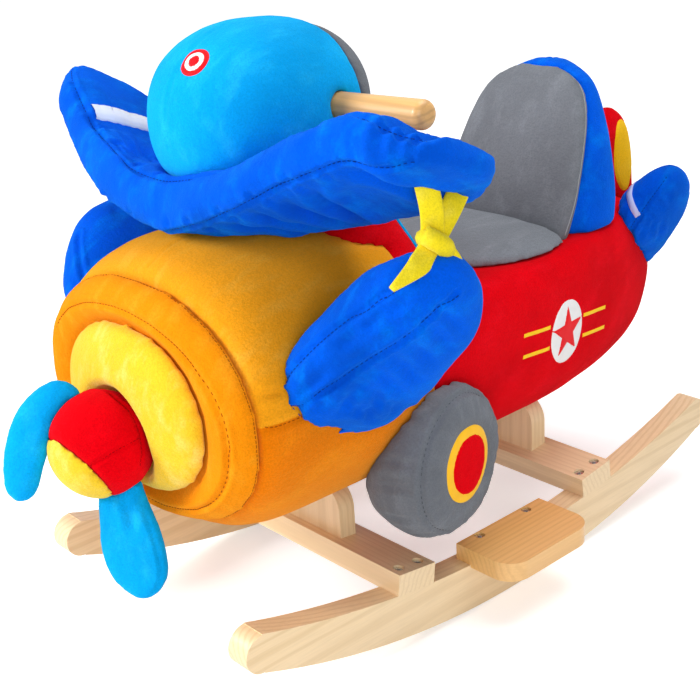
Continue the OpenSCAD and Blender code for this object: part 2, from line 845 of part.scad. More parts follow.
module console() {
    color(sky) difference() {
        console_form();
        panel_side();
        nose_form();
        post_blank();
        handle_axis(handle_d / 2, handle_len);
    }
}
module console_panel() {
    color(grey) intersection() {
        console_form();
        panel_side();
    }
}
badge_place = smooth_row(console_rows, 1.85);
badge_tilt = 48;
badge_turn = 14;
badge_sunk = 3;
module console_badge() {
    spot = ring_point(badge_place, 90 - badge_turn);
    color(red) difference() {
        translate(spot) rotate([0, badge_turn, 0]) rotate([badge_tilt, 0, 0])
            translate([0, 0, -badge_sunk]) cylinder(r = badge_r, h = badge_sunk + patch_t);
        console_form();
    }
}

// Upper wing: a fraction s runs from the middle to a tip

tip_start = 0.86;
tip_thinning = 0.35;
function tip_round(s) = s <= tip_start ? 1 : sqrt(max(0.2, 1 - pow((s - tip_start) / (1 - tip_start), 2)));
function wing_row(reach, s, rise, curl, pitch) =
    let (
        full = wing_root_chord + (wing_tip_chord - wing_root_chord) * s * s,
        p = wing_pitch_root + (pitch - wing_pitch_root) * s,
        back = [0, cos(p), -sin(p)],
        edge = [reach * s, wing_le_y + wing_sweep * pow(s, 2), wing_h + rise * pow(s, curl)],
        thick = wing_t * (0.25 + 0.75 * tip_round(s)) * (1 - tip_thinning * pow(s, 3))
    )
    concat(edge + back * full / 2, -back * full / 2 * tip_round(s),
        [0, sin(p), cos(p)] * thick / 2, [4.2]);
wing_steps = [0, 0.2, 0.4, 0.6, 0.75, 0.87, 0.95, 1];
function left_row(s) = wing_row(wing_reach_left, s, wing_rise_left, 1.1, wing_pitch_left);
function right_row(s) = wing_row(-wing_reach_right, s, wing_rise_right, 2.4, wing_pitch_right);
wing_rows = concat(
    [for (i = [len(wing_steps) - 1 : -1 : 1]) right_row(wing_steps[i])],
    [for (s = wing_steps) left_row(s)]
);
module wing_form() { stuffed(wing_rows, 1, 20); }
module upper_wing() {
    color(royal) difference() {
        wing_form();
        console_form();
        nose_form();
        cowl_form();
        post_blank();
        handle_axis(handle_d / 2 + 2, handle_len + 4);
    }
}
// A stripe on the wing's upper side, across the chord
stripe_at = 0.64;
stripe_wide = 13;
stripe_step = 3;
function stripe_row(side, s) =
    let (
        low = wing_steps[stripe_step],
        share = (s - low) / (wing_steps[stripe_step + 1] - low),
        a = side > 0 ? left_row(low) : right_row(low),
        b = side > 0 ? left_row(wing_steps[stripe_step + 1]) : right_row(wing_steps[stripe_step + 1])
    )
    a + (b - a) * share;
function stripe_rows(side) = [
    for (d = [-0.5, 0.5])
        stripe_row(side, stripe_at + side * d * stripe_wide / (side > 0 ? wing_reach_left : wing_reach_right))
];
module wing_stripe(side) {
    rows = stripe_rows(side);
    angles = [for (a = [36 : 18 : 144]) a];
    n = len(angles);
    function strip(lift) = [
        for (r = rows, a = angles)
            ring_point(r, a) + part_of(r, 6) / norm(part_of(r, 6)) * lift
    ];
    quads = [for (k = [0 : n - 2]) each [[k, n + k, k + 1], [k + 1, n + k, n + k + 1]]];
    top = [for (f = quads) [f[2] + 2 * n, f[1] + 2 * n, f[0] + 2 * n]];
    loop = concat([for (k = [0 : n - 1]) k], [for (k = [n - 1 : -1 : 0]) n + k]);
    rim = [
        for (i = [0 : 2 * n - 1])
            let (a = loop[i], b = loop[(i + 1) % (2 * n)])
            each [[a, b, a + 2 * n], [b, b + 2 * n, a + 2 * n]]
    ];
    difference() {
        polyhedron(concat(strip(0.2), strip(0.2 + patch_t)), concat(quads, top, rim), convexity = 4);
        console_form();
    }
}
module upper_wing_stripes() {
    color("WhiteSmoke") {
        wing_stripe(-1);
        wing_stripe(1);
    }
}

// Lower wings: a fraction runs from the root inside the barrel to the tip

low_root_sunk = 40;
low_root_y = -203;
low_tip_y = -150;
low_tip_y_right = -172;
function low_root(side) = [side * (barrel_a - low_root_sunk), low_root_y, low_wing_root_h];
function low_tip(side) = side > 0 ? [low_wing_reach, low_tip_y, low_wing_tip_h]
    : [-low_wing_reach_right, low_tip_y_right, low_wing_tip_h_right];
function low_chord_dir(side, share) =
    let (
        full = side > 0 ? low_wing_pitch : -low_wing_pitch_right,
        pitch = full * min(1, max(0.25, 0.3 + 1.5 * share))
    )
    [0, -cos(pitch), sin(pitch)];
function low_face(side, along, share) =
    let (square_to = cross(along, low_chord_dir(side, share)))
    square_to / norm(square_to);
function low_rows(side) =
    let (along = low_tip(side) - low_root(side))
    [
        for (p = [[-0.06, 0.8], [0.14, 0.95], [0.4, 1], [0.66, 0.95], [0.85, 0.77], [0.96, 0.43], [1, 0.13]])
            concat(low_root(side) + along * p[0], low_chord_dir(side, p[0]) * low_wing_chord / 2 * p[1],
                low_face(side, along, p[0]) * low_wing_t / 2 * (0.2 + 0.8 * p[1]), [2.5])
    ];
module low_wing_form(side) { stuffed(low_rows(side), 2, 16); }
module lower_wing(side) {
    color(royal) difference() {
        low_wing_form(side);
        nose_form();
        both_sides() wheel_form();
    }
}
module lower_wing_left() { lower_wing(1); }
module lower_wing_right() { lower_wing(-1); }

// Ties: two straps from the upper wing's tip to a knot on the lower wing, with two loose ends

function strap_rows(path, across) = [
    for (p = path)
        let (along = path[len(path) - 1] - path[0], face = cross(along, across) / norm(cross(along, across)))
        concat(p, across * tie_w / 2, face * tie_t / 2, [2.6])
];
knot_r = 13;
tie_inset = 16;
tie_inset_right = 30;
tie_back = 14;
tie_back_right = 26;
tie_rise = 38;
tie_rise_right = 26;
function tie_knot(side) = side > 0
    ? [low_wing_reach - tie_inset, low_tip_y - tie_back, low_wing_tip_h + 1.5 * knot_r]
    : [tie_inset_right - low_wing_reach_right, low_tip_y_right + tie_back_right,
        low_wing_tip_h_right + knot_r];
function tie_top(side) = side > 0 ? [low_wing_reach - tie_inset, low_tip_y - tie_back, wing_h + tie_rise]
    : [tie_inset_right - wing_reach_right, low_tip_y_right + tie_back_right, wing_h + tie_rise_right];
module wing_tie(side) {
    knot = tie_knot(side);
    top = tie_top(side);
    rise = (top - knot) / 2;
    tail = side > 0 ? [2, -43, -20] : [6, 34, -26];
    color(yellow) difference() {
        union() {
            translate(knot) sphere(knot_r, $fn = 32);
            stuffed(strap_rows([knot, knot + rise + [0, 2, 0], top], [0.3, 0.95, 0]), 2, 8);
            stuffed(strap_rows([knot, knot + rise + [0, 16, 0], top + [0, 28, -6]], [0.3, 0.9, 0.3]), 2, 8);
            stuffed(strap_rows([knot, knot + tail / 2 + [2, 0, 6], knot + tail], [0.5, 0.3, -0.8]), 2, 8);
        }
        low_wing_form(side);
        wing_form();
    }
}
module wing_tie_left() { wing_tie(1); }
module wing_tie_right() { wing_tie(-1); }

// Seat, backrest and tail

seat_front = 0;
seat_rear = back_y - back_depth / 2 + 6;
seat_rows = [
    for (p = [[0, 0.2], [0.06, 0.45], [0.22, 0.72], [0.45, 0.93], [0.7, 1], [1, 0.9]])
        [0, seat_front + (seat_rear - seat_front) * p[0], seat_h, seat_a * p[1], 0, 0, 0, 0,
            seat_crown * (0.4 + 0.6 * p[1]), 2.6]
];
module below_seat() {
    translate([-base_w, -base_w, 0]) cube([2 * base_w, 3 * base_w, seat_h]);
}
module seat_pad() {
    color(grey) difference() {
        stuffed(seat_rows, 2, 20);
        below_seat();
        shell_form();
        pad_form();
    }
}
back_rise = back_top_h - seat_h;
shell_rows = [
    for (p = [[-0.15, 1.06, 1.22, 0.5], [0.15, 1.03, 1.1, 0.33], [0.45, 0.955, 0.9, 0.07],
        [0.72, 0.79, 0.68, -0.1], [0.9, 0.59, 0.5, -0.2], [1, 0.22, 0.2, -0.2]])
        [0, back_y + tan(back_lean) * back_rise * p[0] + back_depth / 2 * p[3], seat_h + back_rise * p[0],
            back_a * p[1], 0, 0, 0, back_depth / 2 * p[2], 0, 2.5]
];
module shell_form() { stuffed(shell_rows, 2, 24); }
module backrest_shell() {
    color(royal) difference() {
        shell_form();
        below_seat();
        backrest_board();
    }
}
pad_rows = [
    for (p = [[-0.08, 0.95, 0.85], [0.2, 0.96, 1], [0.5, 0.89, 1], [0.75, 0.77, 0.85], [0.89, 0.58, 0.6],
        [0.965, 0.28, 0.25]])
        [0, back_y - back_depth * 0.34 + tan(back_lean + 3) * back_rise * p[0], seat_h + back_rise * p[0],
            back_a * p[1], 0, 0, 0, back_pad_t / 2 * p[2], 0, 2.4]
];
module pad_form() { stuffed(pad_rows, 2, 20); }
module backrest_pad() {
    color(grey) difference() {
        pad_form();
        shell_form();
        below_seat();
    }
}
fin_foot_h = tail_end_h + 14;
fin_mid_y = tail_end_y - fin_chord / 2 - 2;
fin_rows = [
    for (p = [[0, 1, 1], [0.35, 0.84, 0.94], [0.7, 0.62, 0.82], [0.9, 0.4, 0.58], [1, 0.1, 0.16]])
        [0, fin_mid_y + 22 * p[0], fin_foot_h + (fin_top_h - fin_foot_h) * p[0], 0, fin_chord / 2 * p[1], 0,
            fin_t / 2 * p[2], 0, 0, 2.6]
];
module fin_form() { stuffed(fin_rows, 2, 16); }
module tail_fin() {
    color(red) difference() {
        fin_form();
        tail_form();
        shell_form();
    }
}
fin_panel_mid = [fin_mid_y + 29, fin_foot_h + (fin_top_h - fin_foot_h) * 0.63];
fin_panel_outline = [
    for (a = [0 : 30 : 330])
        fin_panel_mid + [cos(a) * fin_chord * 0.14, sin(a) * (fin_top_h - fin_foot_h) * 0.28]
];
module fin_panels() {
    color(orange) difference() {
        intersection() {
            stuffed(fin_rows, 2, 16, patch_t);
            side_outline(fin_panel_outline);
        }
        fin_form();
    }
}
plane_root = [36, tail_end_y - 70, tail_end_h - 2];
plane_tip = [tailplane_reach, tail_end_y - 60, tailplane_tip_h];
plane_spine = (plane_tip - plane_root) / norm(plane_tip - plane_root);
plane_pitch = 18;
plane_chord_dir = [0, -cos(plane_pitch), sin(plane_pitch)];
plane_face = cross(plane_spine, plane_chord_dir) / norm(cross(plane_spine, plane_chord_dir));
plane_rows = [
    for (p = [[0, 1], [0.35, 1], [0.65, 0.9], [0.86, 0.66], [0.96, 0.38], [1, 0.12]])
        concat(plane_root + (plane_tip - plane_root) * p[0], plane_chord_dir * tailplane_chord / 2 * p[1],
            plane_face * tailplane_t / 2 * (0.2 + 0.8 * p[1]), [2.4])
];
module tailplane(side) {
    color(royal) difference() {
        mirror([side < 0 ? 1 : 0, 0, 0]) stuffed(plane_rows, 2, 14);
        tail_form();
        fin_form();
    }
}
module tailplane_left() { tailplane(1); }
module tailplane_right() { tailplane(-1); }

// Wheels: local +Z runs out along the wheel's axis from its inner face

wheel_round = wheel_w * 0.42;
wheel_inner_x = barrel_a - 51;
module at_wheel() {
    translate([wheel_inner_x, wheel_y, wheel_h]) rotate([0, 0, wheel_toe]) rotate([0, 90, 0]) children();
}
module wheel_form() {
    at_wheel() rotate_extrude($fn = 72) {
        square([wheel_d / 2 - wheel_round, wheel_w]);
        translate([0, wheel_round]) square([wheel_d / 2, wheel_w - 2 * wheel_round]);
        for (z = [wheel_round, wheel_w - wheel_round])
            translate([wheel_d / 2 - wheel_round, z]) circle(wheel_round);
    }
}
module wheel_left() {
    color(grey) difference() {
        wheel_form();
        nose_form();
        tail_form();
    }
}
module wheel_right() { mirror([1, 0, 0]) wheel_left(); }
module wheel_hub_rings() {
    color(yellow) both_sides() at_wheel() translate([0, 0, wheel_w]) difference() {
        cylinder(r = hub_ring_d / 2, h = hub_felt_t);
        cylinder(r = hub_disc_d / 2, h = hub_felt_t);
    }
}
module wheel_hub_discs() {
    color(red) both_sides() at_wheel() translate([0, 0, wheel_w])
        cylinder(r = hub_disc_d / 2, h = hub_felt_t);
}

// Side markings on the tail: a pair is a place along the toy and a height

roundel_mid = [115, 212];
stripe_slope = 0.12;
marked_rows = [for (i = [3 : 9]) resampled(tail_rows, 2)[i]];
module marked_side(level) { stuffed(marked_rows, 1, 28, patch_t * level); }
module side_patch(level) {
    difference() {
        intersection() {
            marked_side(level + 1);
            children();
        }
        marked_side(level);
    }
}
module roundel_patches() {
    color("White") side_patch(0)
        side_outline([for (a = [0 : 15 : 345]) roundel_mid + roundel_r * [cos(a), sin(a)]]);
}
module roundel_stars() {
    color(red) side_patch(1) side_outline([
        for (k = [0 : 9])
            let (r = k % 2 == 0 ? star_r : star_r * 0.4)
            roundel_mid + r * [cos(90 + 36 * k), sin(90 + 36 * k)]
    ]);
}
module roundel_stripes() {
    y0 = roundel_r + 1;
    y1 = stripe_len / 2;
    color(yellow) side_patch(0) for (z = [-1, 1], s = [-1, 1])
        side_outline([
            for (q = [[y0, -0.5], [y1, -0.5], [y1, 0.5], [y0, 0.5]])
                roundel_mid + [s * q[0], z * stripe_pitch / 2 + q[1] * stripe_w - stripe_slope * s * q[0]]
        ]);
}

rocker_left();
rocker_right();
front_crossbar();
rear_crossbar();
front_upright();
rear_upright();
footrest_left();
footrest_right();
crossbar_bolts();
footrest_bolts();
threaded_inserts();
upright_screws();
seat_board();
console_post();
post_cleat();
backrest_board();
backrest_cleat();
frame_screws();
handle_bar();
handle_screw();
nose_section();
nose_ring();
nose_dome();
swivel_bush();
swivel_stem();
swivel_washer();
propeller_hub();
spinner_cap();
propeller_blade_upper();
propeller_blade_lower();
tail_section();
cockpit_front();
console();
console_panel();
console_badge();
upper_wing();
upper_wing_stripes();
lower_wing_left();
lower_wing_right();
wing_tie_left();
wing_tie_right();
seat_pad();
backrest_shell();
backrest_pad();
tail_fin();
fin_panels();
tailplane_left();
tailplane_right();
wheel_left();
wheel_right();
wheel_hub_rings();
wheel_hub_discs();
roundel_patches();
roundel_stars();
roundel_stripes();
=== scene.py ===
"""Looks of the plush rocking airplane: soft pieces swollen from the part's own solids, sewn and finished."""

import json
import math

import bpy
import numpy as np
from mathutils import Matrix, Vector, noise
from mathutils.bvhtree import BVHTree
from mathutils.geometry import delaunay_2d_cdt
from mathutils.kdtree import KDTree


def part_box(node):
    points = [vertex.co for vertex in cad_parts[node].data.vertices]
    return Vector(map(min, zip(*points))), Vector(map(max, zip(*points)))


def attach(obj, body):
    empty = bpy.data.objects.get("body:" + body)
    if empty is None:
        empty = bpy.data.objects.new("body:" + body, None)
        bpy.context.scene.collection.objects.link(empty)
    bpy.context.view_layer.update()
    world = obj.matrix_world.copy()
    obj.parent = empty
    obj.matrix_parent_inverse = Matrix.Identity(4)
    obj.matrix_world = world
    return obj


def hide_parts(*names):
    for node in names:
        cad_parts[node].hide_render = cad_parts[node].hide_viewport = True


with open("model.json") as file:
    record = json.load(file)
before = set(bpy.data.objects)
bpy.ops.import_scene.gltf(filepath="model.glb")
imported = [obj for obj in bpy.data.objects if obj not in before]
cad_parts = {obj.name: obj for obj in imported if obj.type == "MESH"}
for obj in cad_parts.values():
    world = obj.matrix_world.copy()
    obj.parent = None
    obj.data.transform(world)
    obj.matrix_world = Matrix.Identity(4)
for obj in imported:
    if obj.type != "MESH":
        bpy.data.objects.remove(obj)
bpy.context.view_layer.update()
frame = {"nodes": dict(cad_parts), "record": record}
NODES = frame["nodes"]
SLOT_OF = {row["node"]: row["material_slot"] for row in frame["record"]["subparts"]}
BODY_OF = {
    node: body for body, nodes in frame["record"]["behaviour"]["bodies"].items() for node in nodes
}
MM = 0.001
SCENE = bpy.context.scene

# Colours, linear
SKY = (0.002, 0.41, 0.94)
ROYAL = (0.0, 0.105, 0.80)
ORANGE = (0.96, 0.37, 0.010)
RING_ORANGE = (0.93, 0.28, 0.003)
DEEP_ORANGE = (0.86, 0.205, 0.001)
LEMON = (0.94, 0.62, 0.025)
TIE_YELLOW = (0.98, 0.78, 0.02)
RED = (0.80, 0.0, 0.005)
GREY = (0.165, 0.178, 0.20)
PALE_SATIN = (0.74, 0.77, 0.86)
WHITE = (0.86, 0.86, 0.86)
PINE = (0.85, 0.64, 0.37)
PINE_WARM = (0.82, 0.47, 0.145)
HANDLE_PINE = (0.74, 0.40, 0.11)
# Sheen colours: each tints a plush's sheen and is also painted into its base colour as lighter streaks, a
# painted highlight.
SKY_SHEEN = (0.03, 0.62, 1.0)
ORANGE_SHEEN = (1.0, 0.56, 0.08)
RED_SHEEN = (0.98, 0.006, 0.02)


# Node trees

MAP_RANGE = ("From Min", "From Max", "To Min", "To Max")


class Graph:
    """The node tree of a material or world, with short calls for the nodes used here."""

    def __init__(self, owner):
        owner.use_nodes = True
        self.owner = owner
        self.nodes = owner.node_tree.nodes
        self.links = owner.node_tree.links
        self.place = None

    def put(self, socket, value):
        if isinstance(value, bpy.types.NodeSocket):
            self.links.new(value, socket)
        else:
            socket.default_value = value

    def add(self, kind, inputs, output=0, **settings):
        """Adds a node and gives one of its outputs, if it has any."""
        node = self.nodes.new("ShaderNode" + kind)
        for name, value in settings.items():
            setattr(node, name, value)
        for name, value in inputs.items():
            self.put(node.inputs[name], value)
        return node.outputs[output] if node.outputs else None

    def finish(self, **values):
        """Sets the shader's sockets by name, and gives the material."""
        shader = self.nodes["Principled BSDF"]
        for name, value in values.items():
            self.put(shader.inputs[name.replace("_", " ")], value)
        return self.owner

    def stretched(self, scale, turn=(0, 0, 0)):
        return self.add("Mapping", {"Vector": self.place, "Scale": scale, "Rotation": turn})

    def noise(self, scale, detail=2.0, rough=0.5, at=None, warp=0.0):
        inputs = {"Scale": scale, "Detail": detail, "Roughness": rough, "Distortion": warp}
        return self.add("TexNoise", {"Vector": at or self.place, **inputs}, "Fac")

    def math(self, kind, a, b):
        return self.add("Math", {0: a, 1: b}, operation=kind)

    def band(self, value, low, high, to_low=0.0, to_high=1.0, kind="SMOOTHSTEP"):
        limits = dict(zip(MAP_RANGE, (low, high, to_low, to_high)))
        return self.add("MapRange", {"Value": value, **limits}, "Result", interpolation_type=kind)

    def mix(self, share, a, b):
        a, b = (c if isinstance(c, bpy.types.NodeSocket) else (*c, 1) for c in (a, b))
        return self.add("Mix", {"Factor": share, 6: a, 7: b}, 2, data_type="RGBA")

    def bump(self, height, strength, distance, under=None):
        inputs = {"Height": height, "Strength": strength, "Distance": distance}
        return self.add("Bump", inputs if under is None else {**inputs, "Normal": under})


# Camera and light

CAMERA_AT = Vector((0.8283, -0.7844, 0.6535))
CAMERA_RIGHT = Vector((0.6741, 0.7366, -0.0554))
CAMERA_UP = Vector((-0.2357, 0.2856, 0.9289))
CAMERA_BACK = Vector((0.7000, -0.6131, 0.3662))
CAMERA_LENS, SENSOR_WIDTH = 66.28, 36
NEAR_CLIP, FAR_CLIP = 0.01, 60
LAMP_AIM = Vector((0, 0, 0.22))
LAMPS = {
    # place, size and power of each
    "key": ((-1.0, -2.0, 1.35), 0.9, 54),
    "fill": ((1.8, -1.3, 0.8), 1.6, 20),
    "top": ((0.3, 0.5, 2.2), 1.6, 28),
}
PLAIN_WHITE = (1, 1, 1, 1)
WORLD_STRENGTH = 0.36
FLOOR_SIZE, FLOOR_Z = 40, -0.5 * MM
FLOOR_COLOUR = (0.86, 0.86, 0.86, 1)
GLOW_REACH, GLOW_STRENGTH = (0.5, 2.6), (0.46, 0.72)


def add_camera():
    data = bpy.data.cameras.new("camera")
    data.lens = CAMERA_LENS
    data.sensor_width = SENSOR_WIDTH
    data.clip_start = NEAR_CLIP
    data.clip_end = FAR_CLIP
    camera = bpy.data.objects.new("camera", data)
    SCENE.collection.objects.link(camera)
    turn = Matrix((CAMERA_RIGHT, CAMERA_UP, CAMERA_BACK)).transposed()
    camera.matrix_world = Matrix.Translation(CAMERA_AT) @ turn.to_4x4()
    SCENE.camera = camera


def add_lamp(name, at, size, power):
    data = bpy.data.lights.new(name, "AREA")
    data.shape = "DISK"
    data.size = size
    data.energy = power
    lamp = bpy.data.objects.new(name, data)
    lamp.location = at
    lamp.rotation_euler = (LAMP_AIM - Vector(at)).to_track_quat("-Z", "Y").to_euler()
    SCENE.collection.objects.link(lamp)


def direct_rays(g):
    """A socket that is 1 for camera, glossy and transmission rays."""
    rays = g.nodes.new("ShaderNodeLightPath").outputs
    seen = g.math("MAXIMUM", rays["Is Camera Ray"], rays["Is Glossy Ray"])
    return g.math("MAXIMUM", seen, rays["Is Transmission Ray"])


def add_world():
    SCENE.world = bpy.data.worlds.new("studio")
    g = Graph(SCENE.world)
    g.nodes.clear()
    seen = g.add("Background", {"Color": PLAIN_WHITE})
    light = g.add("Background", {"Color": PLAIN_WHITE, "Strength": WORLD_STRENGTH})
    g.add("OutputWorld", {"Surface": g.add("MixShader", {0: direct_rays(g), 1: light, 2: seen})})


def floor_material():
    """A pale matte floor whose own glow grows where the lamps no longer reach."""
    g = Graph(bpy.data.materials.new("floor"))
    g.nodes.clear()
    matte = g.add("BsdfDiffuse", {"Color": FLOOR_COLOUR})
    gap = g.add("VectorMath", {0: g.add("TexCoord", {}, "Object")}, "Value", operation="LENGTH")
    far = g.band(gap, *GLOW_REACH, *GLOW_STRENGTH, kind="LINEAR")
    glow = g.add("Emission", {"Strength": g.math("MULTIPLY", direct_rays(g), far)})
    g.add("OutputMaterial", {"Surface": g.add("AddShader", {0: matte, 1: glow})})
    return g.owner


def add_floor():
    bpy.ops.mesh.primitive_plane_add(size=FLOOR_SIZE, location=(0, 0, FLOOR_Z))
    floor = bpy.context.object
    floor.name = "floor"
    floor.data.materials.append(floor_material())


SCENE.view_settings.view_transform = "Standard"
add_camera()
add_world()
for lamp_name, lamp_settings in LAMPS.items():
    add_lamp(lamp_name, *lamp_settings)
add_floor()


# Materials

# Noise scales of the pile, per metre, and the heights of its bumps in metres
PATCH_SCALE, STREAK_SCALE, SPECK_SCALE = 13, 70, 620
PILE_SCALE, PILE_HEIGHT = 900, 0.0012
TUFT_SCALE, TUFT_HEIGHT = 240, 0.0022
SPLIT_BLUR = 0.8 * MM
RADIANS_PER_RIB = 6.28
GRAIN_SCALE = {"x": (0.045, 1, 1), "y": (1, 0.045, 1), "z": (1, 1, 0.045)}
LATE_WOOD = (1, 0.93, 0.80)


def surface(name):
    """The node tree of a new material whose textures follow the object."""
    g = Graph(bpy.data.materials.new(name))
    g.place = g.add("TexCoord", {}, "Object")
    return g


def shaded(colour, factor):
    return tuple(min(1.0, c * factor) for c in colour)


def paler(colour, share):
    return tuple(c + (1 - c) * share for c in colour)


def plush_colour(g, colour, sheen_colour, deep):
    """Short pile: soft brushed patches, a painted highlight of faint streaks in the lighter sheen colour
    where the pile catches light, and a fine grain.
    """
    patches = g.band(g.noise(PATCH_SCALE, 3, 0.55, warp=0.4), 0.34, 0.68)
    streaks = g.noise(STREAK_SCALE, 3, 0.6, g.stretched((1, 0.28, 0.5), (0.5, 0.2, 0.4)))
    specks = g.noise(SPECK_SCALE, 3, 0.75)
    base = g.mix(patches, colour, shaded(colour, deep))
    # Painted highlight: lighter streaks of the sheen colour stand in for light caught by the pile.
    base = g.mix(g.band(streaks, 0.46, 0.76, 0.0, 0.38), base, sheen_colour)
    return g.mix(g.band(specks, 0.38, 0.66, 0.0, 0.42), base, shaded(colour, 0.62))


def plush(name, colour, sheen_colour, deep=0.84, sheen=0.46, split=None):
    """Plush cloth; split gives a second colour and sheen colour, and the height below which they show."""
    g = surface(name)
    base = plush_colour(g, colour, sheen_colour, deep)
    if split:
        other, other_sheen_colour, level = split
        height = g.add("SeparateXYZ", {0: g.place}, "Z")
        above = g.band(height, level - SPLIT_BLUR, level + SPLIT_BLUR)
        base = g.mix(above, plush_colour(g, other, other_sheen_colour, deep), base)
    pile = g.bump(g.noise(PILE_SCALE, 3, 0.75), 0.6, PILE_HEIGHT)
    tufts = g.bump(g.noise(TUFT_SCALE, 3, 0.6), 0.34, TUFT_HEIGHT, pile)
    return g.finish(
        Base_Color=base, Roughness=0.95, Normal=tufts, Specular_IOR_Level=0.04,
        Sheen_Weight=sheen, Sheen_Roughness=0.42, Sheen_Tint=(*paler(sheen_colour, 0.03), 1),
    )


def satin(name, colour, ribs, rough=0.55):
    """Embroidery and satin tape: fine parallel threads with a soft gloss."""
    g = surface(name)
    wave = {"Scale": ribs / RADIANS_PER_RIB, "Distortion": 1.2, "Detail": 1.0}
    threads = g.add("TexWave", {"Vector": g.stretched((0.35, 1, 0.5)), **wave}, "Fac")
    shade = g.band(g.noise(80, 3), 0.3, 0.75, 0.0, 0.35)
    return g.finish(
        Base_Color=g.mix(shade, colour, shaded(colour, 0.82)), Roughness=rough, Specular_IOR_Level=0.14,
        Normal=g.bump(threads, 0.25, 0.0004), Sheen_Weight=0.04,
    )


def thread(name, colour):
    g = surface(name)
    twist = g.noise(2400, 2)
    return g.finish(
        Base_Color=g.mix(g.band(twist, 0.3, 0.7), shaded(colour, 0.75), colour), Roughness=0.8,
        Specular_IOR_Level=0.08, Normal=g.bump(twist, 0.4, 0.0002),
    )


def timber(name, colour, grain, contrast=0.17):
    """Varnished pine: growth rings drawn out along the grain, pores and a faint gloss."""
    g = surface(name)
    along = g.stretched(GRAIN_SCALE[grain])
    wave = {"Scale": 58, "Distortion": 4.5, "Detail": 2.5, "Detail Scale": 0.9}
    turned = {"wave_type": "RINGS", "rings_direction": grain.upper()}
    rings = g.add("TexWave", {"Vector": along, **wave}, "Fac", **turned)
    drift = g.band(g.noise(9, 2, 0.5, along), 0.3, 0.7)
    fibre = g.noise(560, 3, 0.65, along)
    late = tuple(c * tint for c, tint in zip(shaded(colour, 1 - contrast), LATE_WOOD))
    tone = g.mix(g.band(rings, 0.45, 0.98, 0.0, 0.62), colour, late)
    tone = g.mix(g.math("MULTIPLY", drift, 0.35), tone, paler(colour, 0.16))
    tone = g.mix(g.band(fibre, 0.35, 0.8, 0.0, 0.30), tone, shaded(colour, 0.72))
    return g.finish(
        Base_Color=tone, Roughness=g.band(fibre, 0.2, 0.8, 0.34, 0.48), Normal=g.bump(fibre, 0.12, 0.0005),
        Coat_Weight=0.18, Coat_Roughness=0.22,
    )


def metal(name, colour, rough):
    g = surface(name)
    marks = g.noise(700, 3, 0.6, g.stretched((1, 1, 0.1)))
    return g.finish(
        Base_Color=g.mix(marks, shaded(colour, 0.8), colour), Metallic=1.0,
        Roughness=g.band(marks, 0.3, 0.7, rough, rough + 0.14), Normal=g.bump(marks, 0.1, 0.0002),
    )


def plastic(name, colour):
    g = surface(name)
    grain = g.noise(900, 2)
    return g.finish(
        Base_Color=g.mix(g.band(grain, 0.3, 0.7, 0, 0.3), colour, shaded(colour, 0.9)), Roughness=0.5,
        Normal=g.bump(grain, 0.1, 0.0003),
    )


NOSE_SPLIT_Z = 256 * MM
NOSE_SPLIT = (DEEP_ORANGE, (0.98, 0.34, 0.01), NOSE_SPLIT_Z)
# The second colour of each plush is its sheen colour, which is also painted into the base as highlight
# streaks.
PLUSH = {
    "sky": plush("sky_plush", SKY, SKY_SHEEN),
    "royal": plush("royal_plush", ROYAL, (0.0, 0.30, 1.0), deep=0.72, sheen=0.55),
    "orange": plush("ring_plush", RING_ORANGE, (1.0, 0.46, 0.03), deep=0.88),
    "nose": plush("nose_plush", ORANGE, ORANGE_SHEEN, deep=0.90, sheen=0.65, split=NOSE_SPLIT),
    "lemon": plush("lemon_plush", LEMON, (1.0, 0.90, 0.34), deep=0.90, sheen=0.6),
    "tie": plush("tie_plush", TIE_YELLOW, (1.0, 0.90, 0.18), deep=0.88),
    "red": plush("red_plush", RED, RED_SHEEN, deep=0.82, sheen=0.34),
    # The seat's grey is the pad grey painted lighter, a painted top light on its upward face.
    "seat": plush("grey_plush_painted_lighter", shaded(GREY, 1.3), (0.33, 0.35, 0.385), deep=0.86),
    "grey": plush("grey_plush", GREY, (0.25, 0.27, 0.30), deep=0.86),
}


# Meshes as arrays

def vertex_rows(mesh, kind):
    flat = np.empty(len(mesh.vertices) * 3, np.float32)
    mesh.vertices.foreach_get(kind, flat)
    return flat.reshape(-1, 3).astype(float)


def coords(mesh):
    return vertex_rows(mesh, "co")


def set_coords(mesh, co):
    mesh.vertices.foreach_set("co", co.astype(np.float32).ravel())
    mesh.update()


def normals(mesh):
    return vertex_rows(mesh, "normal")


def edges(mesh):
    flat = np.empty(len(mesh.edges) * 2, np.int32)
    mesh.edges.foreach_get("vertices", flat)
    return flat.reshape(-1, 2)


def tree_of(mesh):
    return BVHTree.FromPolygons([v.co for v in mesh.vertices], [p.vertices for p in mesh.polygons])


def new_piece(name, verts, faces, material):
    mesh = bpy.data.meshes.new(name)
    mesh.from_pydata([tuple(v) for v in verts], [], faces)
    mesh.update()
    return dressed(name, mesh, material)


def dressed(name, mesh, material):
    piece = bpy.data.objects.new(name, mesh)
    SCENE.collection.objects.link(piece)
    mesh.materials.clear()
    mesh.materials.append(material)
    mesh.polygons.foreach_set("use_smooth", [True] * len(mesh.polygons))
    return piece


def with_modifier(piece, kind, **settings):
    """The piece's mesh after one modifier, as a new mesh."""
    modifier = piece.modifiers.new(kind.lower(), kind)
    for name, value in settings.items():
        setattr(modifier, name, value)
    graph = bpy.context.evaluated_depsgraph_get()
    mesh = bpy.data.meshes.new_from_object(piece.evaluated_get(graph))
    piece.modifiers.remove(modifier)
    return mesh


